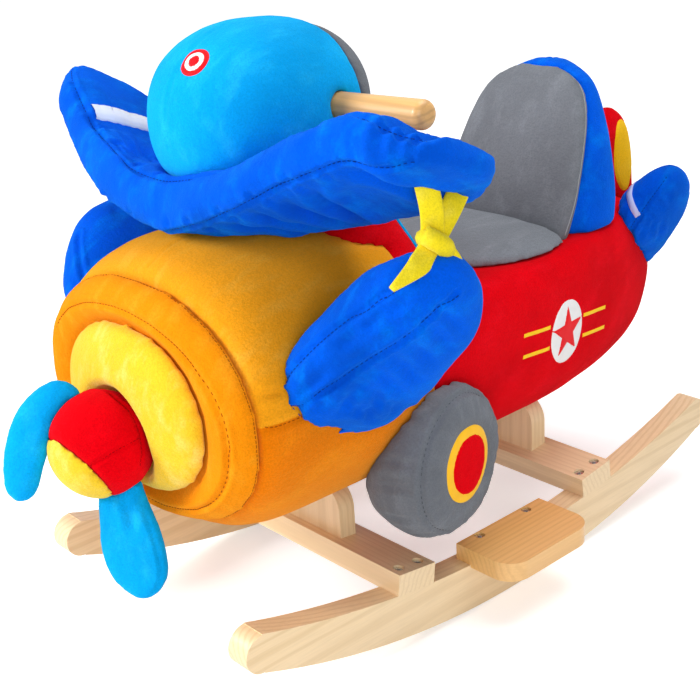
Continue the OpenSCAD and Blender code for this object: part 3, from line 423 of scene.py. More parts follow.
def around(pairs, values):
    """The mean of each point's neighbours."""
    count = np.maximum(np.bincount(pairs.ravel(), minlength=len(values)), 1)[:, None]
    total = [
        np.bincount(pairs[:, 0], values[pairs[:, 1], k], len(values))
        + np.bincount(pairs[:, 1], values[pairs[:, 0], k], len(values))
        for k in range(values.shape[1])
    ]
    return np.stack(total, 1) / count


def relax(mesh, shares, kept=None):
    """Moves each point by a share of the way to the middle of its neighbours, once for each share."""
    co, pairs = coords(mesh), edges(mesh)
    free = np.ones((len(co), 1)) if kept is None else (~kept).astype(float)[:, None]
    for share in shares:
        co += share * free * (around(pairs, co) - co)
    set_coords(mesh, co)


def fill_out(mesh, held, height, tuck):
    """Moves free points out along their normals, less towards the held ones, which the tuck draws in."""
    pairs = edges(mesh)
    free = (~held).astype(float)[:, None]
    for _ in range(4):
        free = np.minimum(free, 0.25 + around(pairs, free))
    free[held] = 0
    lift = around(pairs, free) * height - around(pairs, held.astype(float)[:, None]) * tuck
    set_coords(mesh, coords(mesh) + normals(mesh) * lift)


# Stuffed pieces

SIM_FRAMES = 8
CLOTH = {
    "quality": 4, "mass": 0.25, "tension_stiffness": 12, "compression_stiffness": 12, "shear_stiffness": 4,
    "bending_stiffness": 0.35, "use_pressure": True, "uniform_pressure_force": 3.0,
}
TREES = {name: tree_of(node.data) for name, node in NODES.items()}
BOXES = {name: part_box(name) for name in NODES}
TOUCH = 2.2 * MM
NO_LENGTH = 1e-9


def touching(name, co):
    """Which points lie against another solid of the part."""
    low, high = (np.array(v) for v in BOXES[name])
    near = [
        TREES[other]
        for other, (a, b) in BOXES.items()
        if other != name and np.all(np.array(a) < high + TOUCH) and np.all(np.array(b) > low - TOUCH)
    ]
    return np.array([any(t.find_nearest(p, TOUCH)[0] is not None for t in near) for p in co.tolist()])


def swell(piece, held, slack, cap):
    """Blows the cover up like a stuffed one: its seams are held, and no point moves further than cap."""
    rest = coords(piece.data)
    group = piece.vertex_groups.new(name="held")
    group.add(np.flatnonzero(held).tolist(), 1.0, "REPLACE")
    cloth = piece.modifiers.new("cover", "CLOTH")
    for name, value in CLOTH.items():
        setattr(cloth.settings, name, value)
    cloth.settings.vertex_group_mass = group.name
    cloth.settings.shrink_min = -slack
    cloth.settings.effector_weights.gravity = 0
    cloth.point_cache.frame_start = 1
    cloth.point_cache.frame_end = SIM_FRAMES
    for number in range(1, SIM_FRAMES + 1):
        SCENE.frame_set(number)
    graph = bpy.context.evaluated_depsgraph_get()
    step = coords(piece.evaluated_get(graph).to_mesh()) - rest
    piece.modifiers.remove(cloth)
    piece.vertex_groups.clear()
    length = np.linalg.norm(step, axis=1, keepdims=True)
    set_coords(piece.data, rest + step * np.minimum(1, cap / np.maximum(length, NO_LENGTH)))
    SCENE.frame_set(1)


FAIRING = (0.5, -0.52)
SEAM_ROUNDING = (0.5, 0.5, 0.5)


def stuffed(node, material, voxel, rounds=6, full=1.0, slack=0.0, cap=5.0, tuck=0.7, grow=0.0):
    """A cover that fills a solid's space: remeshed, rounded at its edges and swollen between its seams."""
    source = dressed(node + "_form", NODES[node].data.copy(), material)
    if grow:
        source.data = with_modifier(source, "DISPLACE", strength=grow * MM, mid_level=0.0)
    mesh = with_modifier(source, "REMESH", mode="VOXEL", voxel_size=voxel * MM)
    bpy.data.objects.remove(source)
    relax(mesh, FAIRING * rounds)
    piece = dressed(node + "_cover", mesh, material)
    held = touching(node, coords(mesh))
    relax(mesh, SEAM_ROUNDING, held)
    swell(piece, held, slack, cap * MM)
    relax(mesh, SEAM_ROUNDING[:2], held)
    fill_out(mesh, held, full * MM, tuck * MM)
    piece.data = with_modifier(piece, "SUBSURF", levels=1, render_levels=1)
    bpy.data.meshes.remove(mesh)
    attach(piece, BODY_OF[node])
    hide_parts(node)
    return piece


WING = {"full": 2.6, "slack": 0.02, "tuck": -1.5}
PLANE = {"full": 1.8, "slack": 0.02, "tuck": -1.5}
BALL = {"rounds": 4, "full": 1.3, "cap": 1.6}
BLADE = {"rounds": 4, "cap": 2.0, "tuck": -1.6}
COVERS = {
    # plush, voxel in millimetres and what differs from a usual cover
    "nose_section": ("nose", 5.5, {"full": 0.6}),
    "nose_ring": ("orange", 4.2, {}),
    "nose_dome": ("lemon", 4.2, {"full": 1.6, "cap": 3.0}),
    "tail_section": ("red", 5.5, {"full": 0.6}),
    "cockpit_front": ("red", 3.6, {"rounds": 4, "full": 2.0, "tuck": -1.2}),
    "console": ("sky", 4.6, {"full": 1.6}),
    "console_panel": ("grey", 4.0, {"rounds": 4}),
    "upper_wing": ("royal", 3.8, {"full": 2.4, "slack": 0.02}),
    "lower_wing_left": ("royal", 3.8, WING),
    "lower_wing_right": ("royal", 3.8, WING),
    "seat_pad": ("seat", 3.4, {"rounds": 4}),
    "backrest_shell": ("royal", 4.2, {"tuck": -0.8}),
    "backrest_pad": ("grey", 2.6, {"rounds": 5, "tuck": -0.4, "grow": 1.8}),
    "tail_fin": ("red", 3.6, {"rounds": 4}),
    "tailplane_left": ("royal", 3.2, PLANE),
    "tailplane_right": ("royal", 3.2, PLANE),
    "wheel_left": ("grey", 4.0, {"full": 1.5}),
    "wheel_right": ("grey", 4.0, {"full": 1.5}),
    "propeller_hub": ("red", 2.6, {**BALL, "tuck": 0.1}),
    "spinner_cap": ("lemon", 2.6, {**BALL, "tuck": 0.0}),
    "propeller_blade_upper": ("sky", 2.6, {**BLADE, "full": 2.4}),
    "propeller_blade_lower": ("sky", 2.6, {**BLADE, "full": 1.2}),
}
PIECES = {node: stuffed(node, PLUSH[kind], voxel, **more) for node, (kind, voxel, more) in COVERS.items()}


# Paths and seams on the covers

def bulge(value, square):
    return math.copysign(abs(value) ** (2 / square), value)


def turns(count, closed=False):
    """Angles evenly round a circle, with the first again at the end where it is closed."""
    return [2 * math.pi * k / count for k in range(count + closed)]


def loop_at(y, a, b, z, square=2.15, count=96):
    """A closed ring round the fuselage in the plane at y, in millimetres."""
    return [
        (a * bulge(math.cos(t), square), y, z + b * bulge(math.sin(t), square)) for t in turns(count, True)
    ]


def circle_at(middle, axis, radius, count=72):
    axis = Vector(axis).normalized()
    u = axis.orthogonal().normalized()
    v = axis.cross(u)
    return [Vector(middle) + radius * (u * math.cos(t) + v * math.sin(t)) for t in turns(count, True)]


def mirrored(points):
    return [(-p[0], p[1], p[2]) for p in points]


def on_both_sides(points):
    return [points, mirrored(points)]


def spline_point(a, b, c, d, t):
    """A point between b and c on the smooth curve through four knots."""
    square = 2 * a - 5 * b + 4 * c - d
    cube = 3 * b - a - 3 * c + d
    return 0.5 * (2 * b + (c - a) * t + square * t**2 + cube * t**3)


def smooth_path(points, step):
    """Points about a step apart on a smooth curve through the given ones; millimetres in, metres out."""
    knots = [Vector(p) * MM for p in points]
    knots = [2 * knots[0] - knots[1], *knots, 2 * knots[-1] - knots[-2]]
    path = []
    for a, b, c, d in zip(knots, knots[1:], knots[2:], knots[3:]):
        count = max(1, round((c - b).length / (step * MM)))
        path += [spline_point(a, b, c, d, k / count) for k in range(count)]
    return path + [knots[-2]]


def heading(path, k):
    """The direction of a path at its point k."""
    return (path[min(k + 1, len(path) - 1)] - path[max(k - 1, 0)]).normalized()


def laid(tree, points, step=1.5):
    """The path's points moved to the cover's surface, with the surface's normals, and evened out."""
    row = [tree.find_nearest(p)[:2] for p in smooth_path(points, step)]
    for _ in range(3):
        inner = [
            ((a[0] + 2 * b[0] + c[0]) / 4, (a[1] + 2 * b[1] + c[1]).normalized())
            for a, b, c in zip(row, row[1:], row[2:])
        ]
        row = [row[0], *inner, row[-1]]
    return row


def sampled(piece, paths, ends):
    """Points on a cover along paths, and their weights, which fade over the share ends at both ends."""
    cover = tree_of(piece.data)
    spots, weights = [], []
    for path in paths:
        row = laid(cover, path)
        last = len(row) - 1
        spots += [spot for spot, _ in row]
        weights += [min(1.0, min(k, last - k) / last / ends) if ends else 1.0 for k in range(last + 1)]
    return spots, np.array(weights)


# Where the swell beside a valley is highest, and its reach, in widths of the valley
PUFF_AT, PUFF_REACH = 2, 0.9


def press(piece, paths, width, depth, puff=0.0, ends=0.0):
    """Draws valleys into a cover along paths, swollen at both sides and fading at their ends."""
    spots, weights = sampled(piece, paths, ends)
    tree = KDTree(len(spots))
    for k, spot in enumerate(spots):
        tree.insert(spot, k)
    tree.balance()
    co, out = coords(piece.data), normals(piece.data)
    found = [tree.find(p) for p in co.tolist()]
    x = np.array([gap for _, _, gap in found]) / (width * MM)
    weight = weights[[k for _, k, _ in found]]
    rise = puff * np.exp(-(((x - PUFF_AT) / PUFF_REACH) ** 2)) - depth * np.exp(-(x**2))
    set_coords(piece.data, co + out * (rise * weight * MM)[:, None])


def bed(piece, node, depth, reach=3.0):
    """Draws a cover in where another solid lies on it."""
    tree, pairs = TREES[node], edges(piece.data)
    co, out = coords(piece.data), normals(piece.data)
    under = np.array([[tree.find_nearest(p, reach * MM)[0] is not None] for p in co.tolist()], float)
    set_coords(piece.data, co - out * around(pairs, around(pairs, under)) * depth * MM)


def undulate(piece, height, size, seed):
    """Uneven filling: low swells over the cover."""
    co, out = coords(piece.data), normals(piece.data)
    shift = Vector((seed * 3.7, seed * 1.3, seed * 2.1))
    rise = [noise.noise(Vector(p) / (size * MM) + shift) for p in co.tolist()]
    set_coords(piece.data, co + out * (np.array(rise) * height * MM)[:, None])


# Meshes along paths

def skin(rows, size, closed=True):
    """Faces between rows of points, which are rings where they are closed."""
    return [
        (r * size + j, r * size + (j + 1) % size, (r + 1) * size + (j + 1) % size, (r + 1) * size + j)
        for r in range(rows - 1)
        for j in range(size if closed else size - 1)
    ]


def capped(rows, sides):
    """Faces of a tube that is closed at both ends."""
    return [*skin(rows, sides), tuple(range(sides))[::-1], tuple(range((rows - 1) * sides, rows * sides))]


def merged(parts):
    verts, faces = [], []
    for more, rings in parts:
        faces += [tuple(len(verts) + i for i in face) for face in rings]
        verts += more
    return verts, faces


STITCH_SIDES = 5
STITCH_RINGS = ((-1.0, 0.35), (-0.7, 0.9), (0.7, 0.9), (1.0, 0.35))


def stitch_mesh(spot, out, along, length, radius):
    """One thread stitch as a short rounded bar."""
    across = out.cross(along).normalized()
    verts = [
        spot + along * (end * length / 2) + radius * fat * (across * math.cos(t) + out * math.sin(t))
        for end, fat in STITCH_RINGS
        for t in turns(STITCH_SIDES)
    ]
    return verts, skin(len(STITCH_RINGS), STITCH_SIDES)


def tube_mesh(points, radius, step=3.0, sides=10):
    """A round cord along a smooth path."""
    path = smooth_path(points, step)
    u = heading(path, 0).orthogonal().normalized()
    verts = []
    for k, spot in enumerate(path):
        along = heading(path, k)
        u = (u - along * u.dot(along)).normalized()
        v = along.cross(u)
        verts += [spot + radius * MM * (u * math.cos(t) + v * math.sin(t)) for t in turns(sides)]
    return verts, capped(len(path), sides)


def laid_cord(piece, points, radius, lift=0.3, step=3.0):
    """A round cord that follows a cover along a path."""
    row = laid(tree_of(piece.data), points, step)
    return tube_mesh([(spot + out * lift * MM) / MM for spot, out in row], radius, step)


STRAP_TIP = 0.3
STRAP_HOLLOW = 0.28
RIPPLE, RIPPLE_ALONG, RIPPLE_ACROSS = 0.12, 0.9, 2.2


def strap_mesh(points, across, width=17, thick=5.5, pointed=0.0, step=2.5, sides=14):
    """A flat sewn strap with plump edges; its far end narrows over the share pointed of its length."""
    path = smooth_path(points, step)
    across, rows = Vector(across), len(path)
    verts = []
    for k, spot in enumerate(path):
        along = heading(path, k)
        side = (across - along * across.dot(along)).normalized()
        face = along.cross(side)
        narrow = STRAP_TIP + (1 - STRAP_TIP) * (rows - 1 - k) / (pointed * rows) if pointed else 1.0
        wide = width * min(1.0, narrow)
        for t in turns(sides):
            x, y = bulge(math.cos(t), 3.5), bulge(math.sin(t), 2.6)
            y *= 1 - STRAP_HOLLOW * (1 - abs(x) ** 3)
            y += RIPPLE * math.sin(k * RIPPLE_ALONG + x * RIPPLE_ACROSS)
            verts.append(spot + (side * x * wide / 2 + face * y * thick / 2) * MM)
    return verts, capped(rows, sides)


def ribbon_mesh(piece, points, width, lift=0.9, sunk=0.6, step=2.0):
    """A flat ribbon that follows a cover along a path, its edges turned down into the pile."""
    tree = tree_of(piece.data)
    row = [tree.find_nearest(p)[:2] for p in smooth_path(points, step)]
    spots = [spot for spot, _ in row]
    profile = ((-0.5, -sunk), (-0.44, lift), (0, lift), (0.44, lift), (0.5, -sunk))
    verts = []
    for k, (spot, out) in enumerate(row):
        across = heading(spots, k).cross(out).normalized()
        for x, rise in profile:
            foot, up, *_ = tree.find_nearest(spot + across * x * width * MM)
            verts.append(foot + up.lerp(out, 0.5).normalized() * rise * MM)
    return verts, skin(len(row), len(profile), closed=False)


# Sewn-on patches

def inside(point, outline):
    x, y = point
    hit = False
    for (xa, ya), (xb, yb) in zip(outline, outline[1:] + outline[:1]):
        if (ya > y) != (yb > y) and x < (xb - xa) * (y - ya) / (yb - ya) + xa:
            hit = not hit
    return hit


def edge_gap(point, outline):
    p = Vector(point)
    gaps = []
    for a, b in zip(outline, outline[1:] + outline[:1]):
        a, b = Vector(a), Vector(b)
        t = max(0.0, min(1.0, (p - a).dot(b - a) / max((b - a).length_squared, 1e-12)))
        gaps.append((p - a - (b - a) * t).length)
    return min(gaps)


def fine_outline(outline, step):
    points = []
    for a, b in zip(outline, outline[1:] + outline[:1]):
        a, b = Vector(a), Vector(b)
        count = max(1, round((b - a).length / step))
        points += [tuple(a + (b - a) * (k / count)) for k in range(count)]
    return points


RIM_ROW = 0.9
DROP = 80 * MM
RIM_SUNK = 0.7


def filled(outline, step):
    """Points and faces that fill a closed outline, with a second row of points close to its rim."""
    size = len(outline)
    low, high = ([pick(p[k] for p in outline) for k in range(2)] for pick in (min, max))
    grid = [
        (low[0] + i * step, low[1] + j * step)
        for i in range(int((high[0] - low[0]) / step) + 1)
        for j in range(int((high[1] - low[1]) / step) + 1)
    ]
    grid = [p for p in grid if inside(p, outline) and edge_gap(p, outline) > 0.5 * step]
    second = [p for p in (inset(outline, k, RIM_ROW) for k in range(size)) if inside(p, outline)]
    points = [Vector(p) for p in outline + second + grid]
    border = [(k, (k + 1) % size) for k in range(size)]
    flat, _, faces, *_ = delaunay_2d_cdt(points, border, [], 1, 1e-7)
    return flat, faces


def dropped(piece, flat, middle, u, v):
    """Where a patch's flat points come down on a cover, and the cover's normals there."""
    tree, out = tree_of(piece.data), u.cross(v).normalized()
    spots, ups = [], []
    for p in flat:
        start = Vector(middle) * MM + (u * p[0] + v * p[1]) * MM + out * DROP
        spot, normal, *_ = tree.ray_cast(start, -out)
        if spot is None:
            spot, normal, *_ = tree.find_nearest(start - out * DROP)
        spots.append(spot)
        ups.append(normal)
    return np.array(spots), np.array(ups)


def patch_mesh(piece, outline, middle, u, v, lift, step=2.6, rim=1.3):
    """A patch of cloth laid on a cover: an outline in millimetres round a middle, rounded at its rim."""
    u, v = Vector(u).normalized(), Vector(v).normalized()
    outline = fine_outline(outline, step)
    flat, faces = filled(outline, step)
    spots, ups = smoothed(*dropped(piece, flat, middle, u, v), faces, u.cross(v).normalized())
    rise = np.array([1 - math.exp(-((edge_gap(p, outline) / rim) ** 1.2)) for p in flat])
    spots += ups * ((lift + RIM_SUNK) * rise - RIM_SUNK)[:, None] * MM
    return [Vector(spot) for spot in spots], [tuple(face) for face in faces]


def smoothed(spots, ups, faces, out, rounds=6):
    """Evens the heights of a patch's points along its outward direction, and their normals."""
    pairs = np.array([(a, b) for f in faces for a, b in zip(f, [*f[1:], f[0]])])
    out = np.array(out)
    for _ in range(rounds):
        spots = spots + np.outer((around(pairs, spots) - spots) @ out, out) * 0.5
        ups = 0.5 * (ups + around(pairs, ups))
    return spots, ups / np.linalg.norm(ups, axis=1, keepdims=True)


def inset(rows, k, gap):
    a, b, c = Vector(rows[k - 1]), Vector(rows[k]), Vector(rows[(k + 1) % len(rows)])
    along = (c - a).normalized()
    return tuple(b + Vector((-along.y, along.x)) * gap)


def patch(name, parts, material, node, replaces=True):
    piece = new_piece(name, *merged(parts), material)
    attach(piece, BODY_OF[node])
    if replaces:
        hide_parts(node)


ROYAL_THREAD = shaded(ROYAL, 0.35)
STITCH_LIFT = 0.15
SHORTEST_STITCH = 0.3


def stitches(name, piece, paths, colour, node, pitch=4.2, length=2.7, radius=0.42):
    """A row of thread stitches along each path."""
    parts = []
    cover = tree_of(piece.data)
    for path in paths:
        row = laid(cover, path, pitch)
        for (a, out), (b, _) in zip(row, row[1:]):
            if (b - a).length > SHORTEST_STITCH * pitch * MM:
                spot = (a + b) / 2 + out * STITCH_LIFT * MM
                parts.append(stitch_mesh(spot, out, (b - a).normalized(), length * MM, radius * MM))
    patch(name, parts, thread(name + "_thread", colour), node, replaces=False)


def oval(a, b, count=48):
    return [(a * math.cos(t), b * math.sin(t)) for t in turns(count)]


def star(radius, inner, points=5, turn=math.pi / 2):
    return [
        (r * math.cos(turn + math.pi * k / points), r * math.sin(turn + math.pi * k / points))
        for k in range(2 * points)
        for r in ((radius if k % 2 == 0 else radius * inner),)
    ]


def bar(length, wide, at=(0, 0), turn=0.0):
    c, s = math.cos(turn), math.sin(turn)
    corners = [(-length, -wide), (length, -wide), (length, wide), (-length, wide)]
    return [(at[0] + (x * c - y * s) / 2, at[1] + (x * s + y * c) / 2) for x, y in corners]


# Finish of the nose

RING_STITCH = loop_at(-275, 138, 99, 245)
COLLAR = loop_at(-294.5, 124, 82, 243)
NOSE_SEAMS = on_both_sides([(142, -269, 256), (143, -230, 255), (141, -166, 254), (137, -90, 253)])
NOSE_DARTS = on_both_sides([(132, -268, 277), (136, -258, 279), (137, -243, 281)])
NOSE_TOP_SEAM = [(0, -268, 346), (0, -230, 366), (0, -180, 367)]


def finish_nose():
    barrel, ring, dome = (PIECES[node] for node in ("nose_section", "nose_ring", "nose_dome"))
    press(barrel, NOSE_SEAMS, width=2.4, depth=1.7, puff=0.8)
    press(barrel, NOSE_DARTS, width=3.0, depth=2.4, puff=1.0, ends=0.35)
    press(barrel, [NOSE_TOP_SEAM], width=2.2, depth=1.2, puff=0.5, ends=0.1)
    press(ring, [COLLAR], width=2.3, depth=1.7, puff=0.9)
    bed(dome, "propeller_hub", depth=2.6, reach=6.0)
    relax(dome.data, FAIRING * 3)
    stitches("barrel_stitches", barrel, NOSE_SEAMS, shaded(DEEP_ORANGE, 0.5), "nose_section")
    stitches("ring_stitches", ring, [RING_STITCH, COLLAR], shaded(DEEP_ORANGE, 0.45), "nose_ring")


finish_nose()


# Finish of the propeller

HUB, HUB_R = Vector((0, -325, 221)), 42.5
HUB_SEAM = [(29, -356, 221), (37, -345, 228), (40, -334, 232), (39, -315, 234)]
HUB_RING = [
    (-19, -326, 260), (-6, -316, 262), (14, -316, 260), (24, -312, 253), (35, -312, 241), (40, -314, 227),
    (41, -319, 212),
]
BLADE_ROOT = HUB + HUB_R * Vector((0.42, 0.03, -0.86))
BLADE_RUN = 88 * Vector((0.264, -0.07, -0.962))
BLADE_SIDE, BLADE_FACE = Vector((0.8, 0.6, 0)), Vector((0.6, -0.8, 0))
BLADE_HALF_WIDTH = 24


def finish_propeller():
    hub, lower = PIECES["propeller_hub"], PIECES["propeller_blade_lower"]
    press(hub, [HUB_RING, HUB_SEAM], width=1.7, depth=1.2, puff=0.5, ends=0.06)
    stitches(
        "hub_stitches", hub, [HUB_SEAM, HUB_RING], shaded(RED, 0.4), "propeller_hub",
        pitch=3.4, length=2.2, radius=0.3,
    )
    for node in ("propeller_blade_upper", "propeller_blade_lower"):
        undulate(PIECES[node], height=1.0, size=24, seed=len(node))
    edge = [
        BLADE_ROOT + BLADE_RUN * along + BLADE_SIDE * BLADE_HALF_WIDTH * wide + BLADE_FACE * 9
        for along, wide in ((0.12, 0.78), (0.35, 0.95), (0.62, 1.0), (0.82, 0.84), (0.95, 0.5))
    ]
    tuck = [BLADE_ROOT + BLADE_RUN * p + BLADE_FACE * 12 + Vector((6, 4, 0)) for p in (0.0, 0.16, 0.34)]
    press(lower, [edge], width=1.6, depth=1.0, puff=0.4, ends=0.1)
    press(lower, [tuck], width=4.0, depth=2.4, puff=1.2, ends=0.3)


finish_propeller()


# Finish of the console

CONSOLE_SEAM = [
    (2, -110, 523), (2, -150, 525), (2, -192, 517), (2, -220, 495), (2, -231, 470), (2, -234, 440)
]
BADGE_AT = (14, -212, 505)
BADGE_OUT = Vector((0.2, -0.78, 0.6)).normalized()
BADGE_DISCS = {
    # radius, height and colour of each
    "badge_edge": (13.0, 1.0, RED), "badge_ring": (9.6, 1.5, WHITE), "badge_middle": (6.4, 1.9, RED),
}


def finish_console():
    console = PIECES["console"]
    press(console, [CONSOLE_SEAM], width=1.9, depth=1.0, puff=0.4)
    u = -Vector((1, 0, 0)).cross(BADGE_OUT).cross(BADGE_OUT).normalized()
    v = BADGE_OUT.cross(u)
    for name, (radius, lift, colour) in BADGE_DISCS.items():
        disc = patch_mesh(console, oval(radius, radius), BADGE_AT, u, v, lift, step=1.6, rim=0.8)
        patch(name, [disc], satin(name, colour, ribs=2600), "console_badge", name == "badge_edge")


finish_console()


# Finish of the wings

# Reach, rise, curl and pitch at the tip of each half of the upper wing
WING_LEFT, WING_RIGHT = (246, 71, 1.1, 24), (-212, 86, 2.4, 27)
WING_PITCH = 12
WING_FRONT_Y, WING_SWEEP, WING_ROOT_Z = -248, 44, 399
WING_CHORD, WING_TAPER = 142, 38
WING_HALF_THICK, WING_THINNING, WING_SQUARE = 20, 0.35, 4.2
# The raised front edge near the left tip
HUMP_X, HUMP_RISE, HUMP_INNER, HUMP_OUTER = 185, 18, 85, 26
HUMP_Y, HUMP_RUN = -120, 80


def wing_hump(x, y):
    """How far the left wing's front edge stands up near its tip, in millimetres."""
    wide = HUMP_INNER if x < HUMP_X else HUMP_OUTER
    front = min(1.0, max(0.0, (HUMP_Y - y) / HUMP_RUN))
    return HUMP_RISE * math.exp(-(((x - HUMP_X) / wide) ** 2)) * front**2 * (3 - 2 * front)


def wing_point(s, degrees):
    """A point of the upper wing: s is -1 at the right tip and 1 at the left, and 0 degrees is in front."""
    reach, rise, curl, pitch = WING_LEFT if s >= 0 else WING_RIGHT
    t, a = abs(s), math.radians(degrees)
    p = math.radians(WING_PITCH + (pitch - WING_PITCH) * t)
    back, up = Vector((0, math.cos(p), -math.sin(p))), Vector((0, math.sin(p), math.cos(p)))
    edge = Vector((reach * t, WING_FRONT_Y + WING_SWEEP * t * t, WING_ROOT_Z + rise * t**curl))
    chord = WING_CHORD - WING_TAPER * t * t
    half = WING_HALF_THICK * (1 - WING_THINNING * t**3)
    point = edge + back * chord / 2 * (1 - bulge(math.cos(a), WING_SQUARE))
    point += up * half * bulge(math.sin(a), WING_SQUARE)
    return point + Vector((0, 0, wing_hump(point.x, point.y)))


def wing_line(start, stop, from_deg, to_deg, count=9):
    return [
        wing_point(start + (stop - start) * k / count, from_deg + (to_deg - from_deg) * k / count)
        for k in range(count + 1)
    ]


def press_wing_folds(wing):
    """Creases under and over the wing, folds at its left tip and puckers beside its front seams."""
    under = [wing_line(s, 0.42 + 0.25 * (s - 0.45), -52, -128) for s in (0.06, 0.22, 0.36, 0.5, 0.64)]
    under += [wing_line(-s, -0.42 + 0.25 * (0.45 - s), -52, -128) for s in (0.1, 0.28)]
    press(wing, under, width=5.5, depth=5.6, puff=3.0, ends=0.3)
    press(wing, [wing_line(0.70, 0.93, -50, -112)], width=7.5, depth=6.5, puff=2.6, ends=0.35)
    over = [wing_line(-0.24, -0.60, 60 + 5 * k, 50 + 12 * k) for k in range(5)]
    press(wing, over, width=4.6, depth=3.0, puff=1.8, ends=0.35)
    tips = [wing_line(s, s + 0.06, 96, -36) for s in (0.84, 0.89, 0.94)]
    press(wing, tips, width=4.2, depth=3.4, puff=2.2, ends=0.3)
    puckers = [wing_line(s, s + 0.02, 44, 66) for s in (-0.62, -0.5, -0.3, -0.12)]
    puckers += [wing_line(s, s - 0.03, -44, -70) for s in (-0.7, -0.5, 0.12, 0.2, 0.32, 0.48, 0.6, 0.7)]
    puckers += [wing_line(s, s + 0.01, -42, -18) for s in (-0.4, -0.2, 0.05, 0.16, 0.3, 0.44, 0.58)]
    press(wing, puckers, width=3.2, depth=1.9, puff=1.0, ends=0.4)


def finish_upper_wing():
    wing = PIECES["upper_wing"]
    co = coords(wing.data)
    co[:, 2] += [wing_hump(x / MM, y / MM) * MM for x, y, _ in co]
    set_coords(wing.data, co)
    undulate(wing, height=2.2, size=46, seed=2)
    front_seams = [wing_line(-0.97, 0.97, a, a, 40) for a in (42, -42)]
    rear_seams = [wing_line(a, b, d, d, 16) for a, b in ((-0.95, -0.42), (0.42, 0.95)) for d in (140, -140)]
    press(wing, front_seams, width=2.2, depth=1.9, puff=1.1)
    press(wing, rear_seams, width=2.2, depth=1.5, puff=0.8)
    press_wing_folds(wing)
    relax(wing.data, FAIRING * 2)
    stitches("wing_stitches", wing, front_seams, ROYAL_THREAD, "upper_wing")


finish_upper_wing()


LOW_WINGS = {
    # root, tip and pitch in degrees of each
    "lower_wing_left": (Vector((101, -203, 222)), Vector((231, -150, 368)), 36),
    "lower_wing_right": (Vector((-101, -203, 222)), Vector((-219, -172, 340)), -14),
}
LOW_HALF_CHORD, LOW_HALF_THICK, LOW_SQUARE = 61, 27, 2.5


def low_point(node, share, degrees):
    """A point of a lower wing: a share of the way out, 0 degrees in front and 90 on its outer face."""
    root, tip, full = LOW_WINGS[node]
    pitch = math.radians(full * min(1, max(0.25, 0.3 + 1.5 * share)))
    fore = Vector((0, -math.cos(pitch), math.sin(pitch)))
    face = (tip - root).cross(fore).normalized()
    if face.z > 0:
        face = -face
    a = math.radians(degrees)
    point = root + (tip - root) * share + fore * LOW_HALF_CHORD * bulge(math.cos(a), LOW_SQUARE)
    return point + face * LOW_HALF_THICK * bulge(math.sin(a), LOW_SQUARE)


def low_line(node, *rows):
    return [low_point(node, share, degrees) for share, degrees in rows]


def finish_lower_wing(node, seed):
    wing = PIECES[node]
    undulate(wing, height=2.0, size=38, seed=seed)
    upper = low_line(node, (0.26, 0), (0.5, 12), (0.7, 22), (0.92, 30))
    lower = low_line(node, (0.12, 24), (0.3, 46), (0.5, 62), (0.7, 72), (0.85, 78), (0.97, 84))
    back = low_line(node, (0.25, -35), (0.5, -45), (0.75, -50), (0.92, -55))
    press(wing, [upper, lower, back], width=2.4, depth=2.0, puff=1.2)
    pleats = [low_line(node, (0.22 + 0.02 * k, 30 + 22 * k), (0.46, 40 + 16 * k)) for k in range(6)]
    press(wing, pleats, width=4.2, depth=2.4, puff=1.2, ends=0.45)
    puckers = [low_line(node, (s, d), (s + 0.09, d + 12)) for s, d in ((0.5, 30), (0.62, 36), (0.74, 44))]
    puckers += [
        low_line(node, (s, 66), (s - 0.07, 116)) for s in (0.36, 0.46, 0.55, 0.64, 0.73, 0.82, 0.9)
    ]
    press(wing, puckers, width=4.0, depth=2.2, puff=1.1, ends=0.4)
    relax(wing.data, FAIRING * 2)
    stitches(node + "_stitches", wing, [upper, lower], ROYAL_THREAD, node)


finish_lower_wing("lower_wing_left", seed=6)
finish_lower_wing("lower_wing_right", seed=5)


# Finish of the wheels

WHEEL_MID = Vector((90, -88, 160))
WHEEL_AXIS = Vector((math.cos(math.radians(12)), math.sin(math.radians(12)), 0))
WHEEL_SEAMS, WHEEL_SEAM_R = (61, 9), 60
WHEEL_FACE = 68
HUB_GOLD = (0.95, 0.52, 0.02)
UP = Vector((0, 0, 1))


def on_side(points, side):
    return points if side > 0 else mirrored(points)


def wheel_line(start, stop, degrees, side):
    """A line on a wheel's cover; start and stop are each a place along the axle and a radius."""
    t = math.radians(degrees)
    spoke = Vector((-WHEEL_AXIS.y, WHEEL_AXIS.x, 0)) * math.cos(t) + UP * math.sin(t)
    points = []
    for k in range(4):
        along, radius = (a + (b - a) * k / 3 for a, b in zip(start, stop))
        points.append(WHEEL_MID + WHEEL_AXIS * along + spoke * radius)
    return on_side(points, side)


def press_wheel(node, side):
    """Uneven filling, two seams round the rim, and gathers over the tread and the outer face."""
    wheel = PIECES[node]
    seams = [
        on_side(circle_at(WHEEL_MID + WHEEL_AXIS * along, WHEEL_AXIS, WHEEL_SEAM_R), side)
        for along in WHEEL_SEAMS
    ]
    undulate(wheel, height=1.4, size=34, seed=9)
    press(wheel, seams, width=2.4, depth=1.8, puff=1.0)
    tread = [wheel_line((60, 61), (24, 69), turn + 9 * math.sin(turn), side) for turn in range(0, 360, 17)]
    press(wheel, tread, width=3.6, depth=1.7, puff=0.9, ends=0.4)
    rays = [wheel_line((68, 38), (62, 58), turn + 7 * math.sin(turn), side) for turn in range(6, 360, 23)]
    press(wheel, rays, width=3.6, depth=1.1, puff=0.6, ends=0.45)
    stitches(node + "_stitches", wheel, seams[:1], shaded(GREY, 0.45), node)


